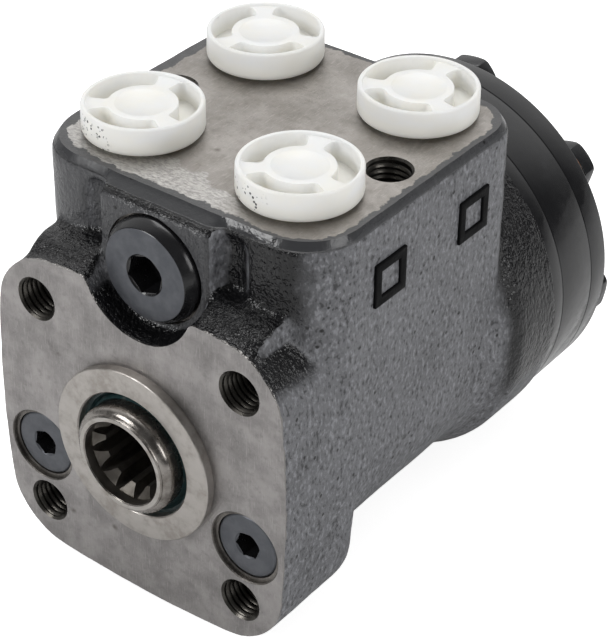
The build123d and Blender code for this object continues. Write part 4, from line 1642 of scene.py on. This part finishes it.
# ---- Plugs and spool ----
@dataclass
class Plugs:
    """The relief valve's plug and the two shock valves' plugs, with hexagon sockets."""

    shop: Shop

    def build(self) -> None:
        """Build the three plugs."""
        self.relief_plug()
        self.shock_plugs()

    def relief_plug(self) -> None:
        """The large plug: matt face inside a narrow bright rim, gloss side, deep socket."""
        at = LAYOUT.relief()
        profile = [
            (0, 3.9), (11.0, 3.9), (11.2, 3.97), (11.4, 4.2), (12.3, 5.6), (12.65, 6.3),
            (12.75, 6.8), (12.75, 8.1), (12.55, 8.3), (9.3, 8.3), (9.0, 8.9), (9.0, 18.4),
            (8.4, 19.0), (0, 19.0),
        ]
        side, matt = self.shop.finishes.plug_side, self.shop.finishes.plug
        plug = turned("relief_plug_body", profile, Axis.Y, at, 128)
        self.shop.coat(plug, side, matt)
        face = 4.0 * MM
        paint_faces(plug, 1, lambda p: p.center.y < face)
        socket = hexagon_tool("socket", 8.8, 2.0, 10.4, at, 12)
        mouth = turned("mouth", [(0, 3), (6.1, 3), (4.7, 4.25), (0, 4.25)], Axis.Y, at, 64)
        for tool in (socket, mouth):
            self.shop.coat(tool, side, matt)
        cut(plug, [socket, mouth])
        smooth(plug, 30)
        install(plug, "housing", "relief_plug")

    def shock_plugs(self) -> None:
        """The two small plugs, flush in their recesses."""
        profile = [
            (0, 1.0), (7.55, 1.0), (7.8, 1.06), (8.1, 1.3), (8.3, 1.7), (8.3, 12.0), (3.0, 12.0),
            (3.0, 15.0), (0, 15.0),
        ]
        gloss, matt = self.shop.finishes.plug_side, self.shop.finishes.plug
        for name, side, spin in (("left", -1, 8), ("right", 1, 20)):
            at = LAYOUT.shock(side)
            plug = turned(f"shock_plug_{name}_body", profile, at=at)
            self.shop.coat(plug, matt, gloss)
            socket = hexagon_tool("socket", 6.0, 0, 6.0, at, spin)
            self.shop.coat(socket, gloss, gloss)
            paint_faces(socket, 1, lambda p: True)
            mouth = turned("mouth", [(0, 0.5), (4.0, 0.5), (3.2, 1.3), (0, 1.3)], Axis.Y, at, 48)
            self.shop.coat(mouth, matt)
            cut(plug, [socket, mouth])
            smooth(plug, 30)
            install(plug, "housing", f"shock_plug_{name}")


@dataclass(frozen=True)
class SpoolSize:
    """The valve spool, from its domed front end to its rear."""

    tip: float = -6.6
    neck: float = 13.8
    neck_end: float = 12.2
    radius: float = 15.0
    rear: float = 101.5
    bore: float = 10.9
    root: float = 10.67
    crest: float = 8.6
    teeth: int = 12
    teeth_start: float = -3.9
    teeth_end: float = 14.5
    root_half: float = 12.4
    crest_half: float = 4.6
    first_tooth: float = 4.0
    pin_slot: tuple[Point, Point] = ((-40, 25.9, -6.9), (40, 34.1, 6.9))
    spring_slot: tuple[Point, Point] = ((-2.6, 16.0, -40), (2.6, 20.0, 40))
    groove: tuple[Point, Point] = ((13.9, 43.5, -1.6), (16.1, 71.5, 1.6))
    grooves: int = 6


@dataclass
class Spool:
    """The valve spool with its splined socket, pin slot, spring slot and long grooves."""

    shop: Shop
    size: SpoolSize = field(default_factory=SpoolSize)

    def build(self) -> None:
        """Build the spool and let it turn with its body."""
        s = self.size
        dome = arc((s.neck - 2.35, -3.95), 2.35, -68, -6, 8)
        profile = [
            (s.root, s.tip + 0.3), (s.root + 0.25, s.tip), (s.root + 1.25, s.tip),
            (s.root + 1.6, s.tip + 0.22),
        ]
        profile += dome + [
            (s.neck, -2.2), (s.neck, s.neck_end), (s.radius, s.neck_end + 0.2), (s.radius, s.rear),
            (s.bore, s.rear), (s.bore, s.teeth_end), (s.root, s.teeth_end - 0.2),
        ]
        barrel = turned("valve_spool_body", profile, steps=128)
        finish = self.shop.finishes
        self.shop.coat(barrel, finish.spool, finish.lip, finish.spline)
        flat, hollow = (s.tip + 0.05) * MM, (s.root + 0.05) * MM
        paint_faces(barrel, 1, lambda p: p.center.y < flat)
        paint_faces(barrel, 2, lambda p: p.center.xz.length < hollow and p.center.y > flat)
        self.cut_slots(barrel)
        spool = merged("valve_spool_body", [barrel] + self.teeth())
        smooth(spool, 30)
        install(spool, "spool", "valve_spool")

    def cut_slots(self, barrel: bpy.types.Object) -> None:
        """Cut the cross pin's slot, the leaf springs' slot and the six long grooves.

        Args:
            barrel: The turned spool.
        """
        s = self.size
        tools = [block("pin_slot", *s.pin_slot), block("spring_slot", *s.spring_slot)]
        for i in range(s.grooves):
            groove = block("groove", *s.groove)
            turn(groove, 360 / s.grooves * (i + 0.5), Axis.Y)
            tools.append(groove)
        for tool in tools:
            self.shop.coat(tool, self.shop.finishes.spool)
        cut(barrel, tools)

    def teeth(self) -> list[bpy.types.Object]:
        """Shape one spline tooth with its tapered front end and set twelve.

        Returns:
            The teeth.
        """
        s = self.size
        flank, flank_half = 9.7, s.root_half * 0.66
        half = [
            (s.root + 0.4, s.root_half), (s.root, s.root_half), (flank, flank_half),
            (s.crest, s.crest_half),
        ]
        outline = [around(radius, -angle, s.teeth_start) for radius, angle in half]
        outline += [around(radius, angle, s.teeth_start) for radius, angle in reversed(half)]
        first = prism("tooth", outline, (0, s.teeth_end - s.teeth_start, 0))
        start, end = s.teeth_start, s.teeth_start + 3.0
        lead = [
            (0, start - 1.1), (12, start - 1.1), (12, start), (s.root - 0.15, start),
            (s.crest - 0.5, end), (0, end),
        ]
        cut(first, [turned("lead", lead)])
        self.shop.coat(first, self.shop.finishes.spline)
        teeth = []
        for i in range(s.teeth):
            tooth = copied(first, f"tooth_{i}")
            turn(tooth, 360 / s.teeth * i + s.first_tooth, Axis.Y)
            teeth.append(tooth)
        bpy.data.objects.remove(first)
        return teeth


# ---- Caps ----
@dataclass(frozen=True)
class CapSize:
    """A moulded transport cap."""

    radius: float = 14.04
    base: float = 62.9
    top: float = 69.7
    wall: float = 1.2
    hub: float = 8.0
    hub_top: float = 69.0
    hub_flat: float = 7.2
    floor: float = 64.5
    web: float = 24.0
    pocket_trim: float = 0.15
    pocket_corner: float = 1.3
    pocket_foot: float = 0.5
    pocket_rim: float = 0.3


@dataclass
class Caps:
    """The four white caps, moulded alike and turned differently."""

    shop: Shop
    size: CapSize = field(default_factory=CapSize)

    def pocket(self, start: float, end: float) -> bpy.types.Object:
        """A tool for one pocket between the hub and the wall.

        Args:
            start: The angle in degrees where the pocket starts.
            end: The angle where it ends.

        Returns:
            The tool.
        """
        s = self.size
        outer = s.radius - s.wall
        trim = math.degrees(s.pocket_trim / outer)
        outward = arc((0, 0), outer, start + trim, end - trim, 14)
        inward = arc((0, 0), s.hub, end, start, 10)
        outline = [(x, y, s.floor) for x, y in outward + inward]
        tool = prism("pocket", outline, (0, 0, s.top + 1 - s.floor))
        corners = [Vector(line[i]) for line in (outward, inward) for i in (0, -1)]

        def upright(a: Vector, b: Vector) -> bool:
            """Whether an edge stands in one of the pocket's corners."""
            near = any((a.xy - corner).length < 0.05 for corner in corners)
            return near and (a - b).xy.length <= 0.01

        round_edges(tool, s.pocket_corner, upright, 4)
        bottom = s.floor + 0.01
        round_edges(tool, s.pocket_foot, lambda a, b: a.z < bottom and b.z < bottom, 3)
        return tool

    def mould(self) -> bpy.types.Object:
        """Mould one cap at the frame's axis, its first web at angle zero.

        Returns:
            The cap.
        """
        s = self.size
        inner = s.radius - s.wall
        profile = [
            (0, 61.3), (7.9, 61.3), (7.9, 53.6), (8.15, 53.3), (9.0, 53.3), (9.3, 53.7),
            (9.3, 62.32), (11.4, 62.32), (11.4, s.base), (13.2, s.base), (13.7, 63.1),
            (13.95, 63.5), (s.radius, 64.0), (13.98, 69.2), (13.85, 69.5), (13.6, s.top),
            (13.2, s.top), (12.98, 69.62), (inner, 69.4), (inner, s.hub_top), (0, s.hub_top),
        ]
        cap = turned("cap_mould", profile, Axis.Z, steps=128)
        starts = [web + s.web / 2 for web in (0, 120, 240)]
        cut(cap, [self.pocket(start, start + 120 - s.web) for start in starts])
        dish = [(0, 68.9), (6.2, 68.92), (6.6, 69.2), (0, 69.2)]
        cut(cap, [turned("hub_dish", dish, Axis.Z)])
        self.break_pocket_edges(cap)
        return cap

    def break_pocket_edges(self, cap: bpy.types.Object) -> None:
        """Soften the edges where the pockets meet the hub's level.

        Args:
            cap: The cap with its pockets cut.
        """
        s = self.size
        wall = s.radius - s.wall - 0.05

        def on_level(a: Vector, b: Vector) -> bool:
            """Whether an edge lies on the hub's level, off the wall and outside the dish."""
            level = all(abs(end.z - s.hub_top) < 0.005 for end in (a, b))
            return level and s.hub_flat < min(a.xy.length, b.xy.length) < wall

        round_edges(cap, s.pocket_rim, on_level, 3)

    def build(self) -> None:
        """Mould the cap once and set the four copies."""
        mould = self.mould()
        across, front, rear = LAYOUT.port_x, LAYOUT.port_front, LAYOUT.port_rear
        places = (
            ("front_left", -across, front, 100),
            ("front_right", across, front, 105),
            ("rear_left", -across, rear, 10),
            ("rear_right", across, rear, 92),
        )
        for name, x, y, spin in places:
            cap = copied(mould, f"cap_{name}_moulding")
            turn(cap, spin, Axis.Z)
            move(cap, (x, y, 0))
            specks = Specks((x - 6, y - 12.6, 64.5), (x, y, 66.0)) if y == front else None
            self.shop.coat(cap, Polyethylene(f"cap_plastic_{name}", specks))
            smooth(cap, 35)
            install(cap, f"cap_{name}", f"port_cap_{name}")
        bpy.data.objects.remove(mould)


# ---- Gerotor set, cover and screws ----
@dataclass(frozen=True)
class StackSize:
    """The plate, the ring and the cover, with their stations along the shaft."""

    radius: float = 46.0
    plate: Pair = (103.0, 107.8)
    plate_bore: float = 12.5
    ring: Pair = (107.8, 121.3)
    cover: Pair = (121.3, 128.6)
    broken: float = 0.22
    cover_broken: float = 0.8
    screw_circle: float = 38.0
    clearance: float = 4.4
    lobe_circle: float = 31.2
    lobe_radius: float = 6.6
    pocket: float = 30.28


@dataclass(frozen=True)
class ScrewSize:
    """A cover screw's hexagon head and shank."""

    washer: float = 1.0
    flats: float = 13.0
    height: float = 5.3
    crown: float = 7.45
    foot: float = 6.25
    broken: float = 0.14
    shank: float = 3.92
    shank_front: float = 87.0
    turn: float = 5.0


@dataclass
class Stack:
    """The distributor plate, gear ring, end cover and their seven screws."""

    shop: Shop
    size: StackSize = field(default_factory=StackSize)
    screw: ScrewSize = field(default_factory=ScrewSize)
    angles: list[float] = field(
        default_factory=lambda: [LAYOUT.screw_angle(i) for i in range(LAYOUT.screws)]
    )

    def disc(self, name: str, start: float, end: float, rear_break: float) -> bpy.types.Object:
        """Turn a round plate with broken edges and cut its seven clearance holes.

        Args:
            name: The new object's name.
            start: Where it starts along the shaft.
            end: Where it ends.
            rear_break: How far its rear edge is broken.

        Returns:
            The plate.
        """
        s = self.size
        r, b = s.radius, s.broken
        profile = [
            (0, start), (r - b, start), (r, start + b), (r, end - rear_break),
            (r - rear_break * 0.3, end - rear_break * 0.3), (r - rear_break, end), (0, end),
        ]
        disc = turned(name, profile, steps=192)
        places = [around(s.screw_circle, angle) for angle in self.angles]
        holes = [rod("hole", s.clearance, start - 1, end + 1, at, 40) for at in places]
        cut(disc, [merged("holes", holes)])
        return disc

    def build(self) -> None:
        """Build the three round plates and the screws."""
        s = self.size
        gear = self.shop.finishes.gear
        plate = self.disc("plate_disc", *s.plate, s.broken)
        cut(plate, [rod("bore", s.plate_bore, s.plate[0] - 1, s.plate[1] + 1)])
        ring = self.disc("ring_disc", *s.ring, s.broken)
        self.cut_pocket(ring)
        cover = self.disc("cover_disc", *s.cover, s.cover_broken)
        nodes = {"distributor_plate": plate, "gear_ring": ring, "end_cover": cover}
        for node, piece in nodes.items():
            self.shop.coat(piece, gear)
            smooth(piece, 30)
            install(piece, "housing", node)
        self.screws()

    def cut_pocket(self, ring: bpy.types.Object) -> None:
        """Cut the ring's opening, with its seven round lobes left standing.

        Args:
            ring: The gear ring's disc.
        """
        s = self.size
        start, end = s.ring
        pocket = rod("pocket", s.pocket, start - 1, end + 1, steps=168)
        places = [around(s.lobe_circle, angle) for angle in self.angles]
        lobes = [rod("lobe", s.lobe_radius, start - 2, end + 2, at, 64) for at in places]
        cut(pocket, [merged("lobes", lobes)])
        cut(ring, [pocket])

    def screws(self) -> None:
        """Forge one hexagon screw and set seven copies."""
        m = self.screw
        seat = self.size.cover[1] + m.washer
        top = seat + m.height
        head = hexagon_tool("screw_model", m.flats, seat + 0.35, top, (0, 0, 0), 0)
        crown = [
            (0, seat - 1), (m.crown, seat - 1), (m.crown, top - 1.0), (m.crown - 0.35, top - 0.55),
            (6.2, top), (0, top),
        ]
        cut(head, [turned("crown", crown)], Cut.KEEP)
        finish_with(head, "BEVEL", width=m.broken * MM, segments=2, limit_method="ANGLE")
        foot = [
            (0, seat), (m.foot - 0.2, seat), (m.foot, seat + 0.15), (m.foot - 0.05, seat + 0.4),
            (0, seat + 0.4),
        ]
        shank = rod("shank", m.shank, m.shank_front, seat + 0.1, steps=48)
        model = merged("screw_model", [head, turned("foot", foot, steps=64), shank])
        self.shop.coat(model, self.shop.finishes.screw)
        smooth(model, 30)
        for i, angle in enumerate(self.angles):
            screw = copied(model, f"cover_screw_{i}")
            turn(screw, -(angle + m.turn), Axis.Y)
            move(screw, around(self.size.screw_circle, angle))
            node = "pin_screw" if i == LAYOUT.check_screw else "cover_screws"
            install(screw, "housing", node)
        bpy.data.objects.remove(model)


# ---- Nodes that keep their own meshes ----
def dress_nodes(shop: Shop) -> None:
    """Give every CAD node that stays as it is a finish for its slot.

    Args:
        shop: The shop that makes the finishes.
    """
    f = shop.finishes
    by_slot = {
        "cast_black": f.paint,
        "gloss_black": f.gear,
        "screw_black": f.screw,
        "copper": f.copper,
        "plug_grey": f.plug,
        "ground_steel": f.ground,
        "polished_steel": f.spool,
        "seal_rubber": f.seal,
        "dust_rubber": f.dust_seal,
        "cap_plastic": Polyethylene("cap_plastic"),
    }
    for node in bpy.data.objects:
        if node.type != "MESH" or not node.data.materials or node.data.materials[0] is None:
            continue
        slot = node.data.materials[0].name.split(".")[0]
        if slot in by_slot:
            node.material_slots[0].material = shop.get(by_slot[slot])
            log.info("%s keeps its mesh, dressed as %s", node.name, slot)


# ---- Camera, light and ground ----
@dataclass(frozen=True)
class Lamp:
    """A square soft lamp: its place and width in millimetres, and its power in watts."""

    name: str
    at: Point
    size: float
    power: float

    def hang(self, aim: Point) -> None:
        """Add the lamp, shining at a point in millimetres.

        Args:
            aim: The point that it shines at.
        """
        clear_selection()
        facing = (Vector(aim) - Vector(self.at)).to_track_quat("-Z", "Y").to_euler()
        bpy.ops.object.light_add(type="AREA", location=Vector(self.at) * MM, rotation=facing)
        lamp = bpy.context.object
        lamp.name = self.name
        lamp.data.shape = "SQUARE"
        lamp.data.size = self.size * MM
        lamp.data.energy = self.power


@dataclass(frozen=True)
class Studio:
    """A white product studio: bright ground, open sky and three soft lamps."""

    camera_at: Point = (264.0674, -293.2913, 307.1803)
    camera_turn: Point = (55.43416, -0.71881, 37.08465)
    lens: float = 123.595
    sensor: float = 36
    floor: float = -46.8
    ground_size: float = 6
    ground_colour: tuple[float, ...] = (0.9, 0.9, 0.9, 1)
    ground_glow: float = 0.75
    sky: float = 0.36
    glow: float = 0.88
    gloom: float = 0.10
    open_side: Point = (-0.50, 0.60, 0.62)
    aim: Point = (0, 45, 20)
    lights: tuple[Lamp, ...] = (
        Lamp("top_lamp", (-120, 260, 620), 420, 1.7),
        Lamp("front_lamp", (-260, -480, 330), 240, 1.7),
        Lamp("side_lamp", (560, 60, 260), 300, 1.1),
    )

    def camera(self) -> None:
        """Add the camera and make it the scene's."""
        clear_selection()
        turn_angles = Euler([math.radians(v) for v in self.camera_turn], "XYZ")
        bpy.ops.object.camera_add(location=Vector(self.camera_at) * MM, rotation=turn_angles)
        camera = bpy.context.object
        camera.name = "camera"
        camera.data.lens = self.lens
        camera.data.sensor_width = self.sensor
        camera.data.clip_start = 0.01
        camera.data.dof.use_dof = False
        bpy.context.scene.camera = camera

    def world(self) -> None:
        """White where it is seen, plain as light, and a dark room with one open side in gloss."""
        world = bpy.data.worlds.new("studio")
        bpy.context.scene.world = world
        world.use_nodes = True
        n = Nodes(world.node_tree)
        n.tree.nodes.clear()
        place = n.add("ShaderNodeTexCoord").outputs["Generated"]
        axes = n.add("ShaderNodeSeparateXYZ")
        n.feed(axes.inputs[0], place)
        side = n.ramp(n.towards(place, self.open_side), 0.30, 0.80)
        below = n.ramp(axes.outputs["Z"], 0.02, -0.06)
        mirrored = n.math("MAXIMUM", side, below) * (self.glow - self.gloom) + self.gloom
        rays = n.add("ShaderNodeLightPath").outputs
        glossy, seen = Level(n, rays["Is Glossy Ray"]), Level(n, rays["Is Camera Ray"])
        light = glossy * mirrored + (1.0 - glossy) * self.sky
        background = n.add("ShaderNodeBackground")
        n.fill(background, Strength=(1.0 - seen) * light + seen, Color=(1, 1, 1, 1))
        out = n.add("ShaderNodeOutputWorld")
        n.feed(out.inputs[0], background.outputs[0])

    def ground(self) -> None:
        """A wide white ground that keeps a soft shadow under the unit."""
        clear_selection()
        place = (0, 0, self.floor * MM)
        bpy.ops.mesh.primitive_plane_add(size=self.ground_size, location=place)
        ground = bpy.context.object
        ground.name = "studio_ground"
        settle(ground)
        f = Finish("studio_white")
        f.set(Base_Color=self.ground_colour, Roughness=0.9, Specular_IOR_Level=0)
        rays = Level(f, f.add("ShaderNodeLightPath").outputs["Is Camera Ray"])
        f.set(Emission_Color=(1, 1, 1, 1), Emission_Strength=rays * self.ground_glow)
        ground.data.materials.append(f.material)

    def build(self) -> None:
        """Lay the ground and hang the world and the lamps."""
        self.world()
        self.ground()
        for lamp in self.lights:
            lamp.hang(self.aim)


def main() -> None:
    """Build the studio, the unit and its finishes."""
    logging.basicConfig(level=logging.INFO)
    bpy.context.scene.view_settings.view_transform = "Standard"
    studio = Studio()
    studio.camera()
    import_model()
    clear_selection()
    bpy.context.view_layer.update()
    studio.build()
    shop = Shop()
    dress_nodes(shop)
    for maker in (Casting(shop), Plugs(shop), Spool(shop), Caps(shop), Stack(shop)):
        maker.build()
    clear_selection()


if __name__ == "__main__":
    main()
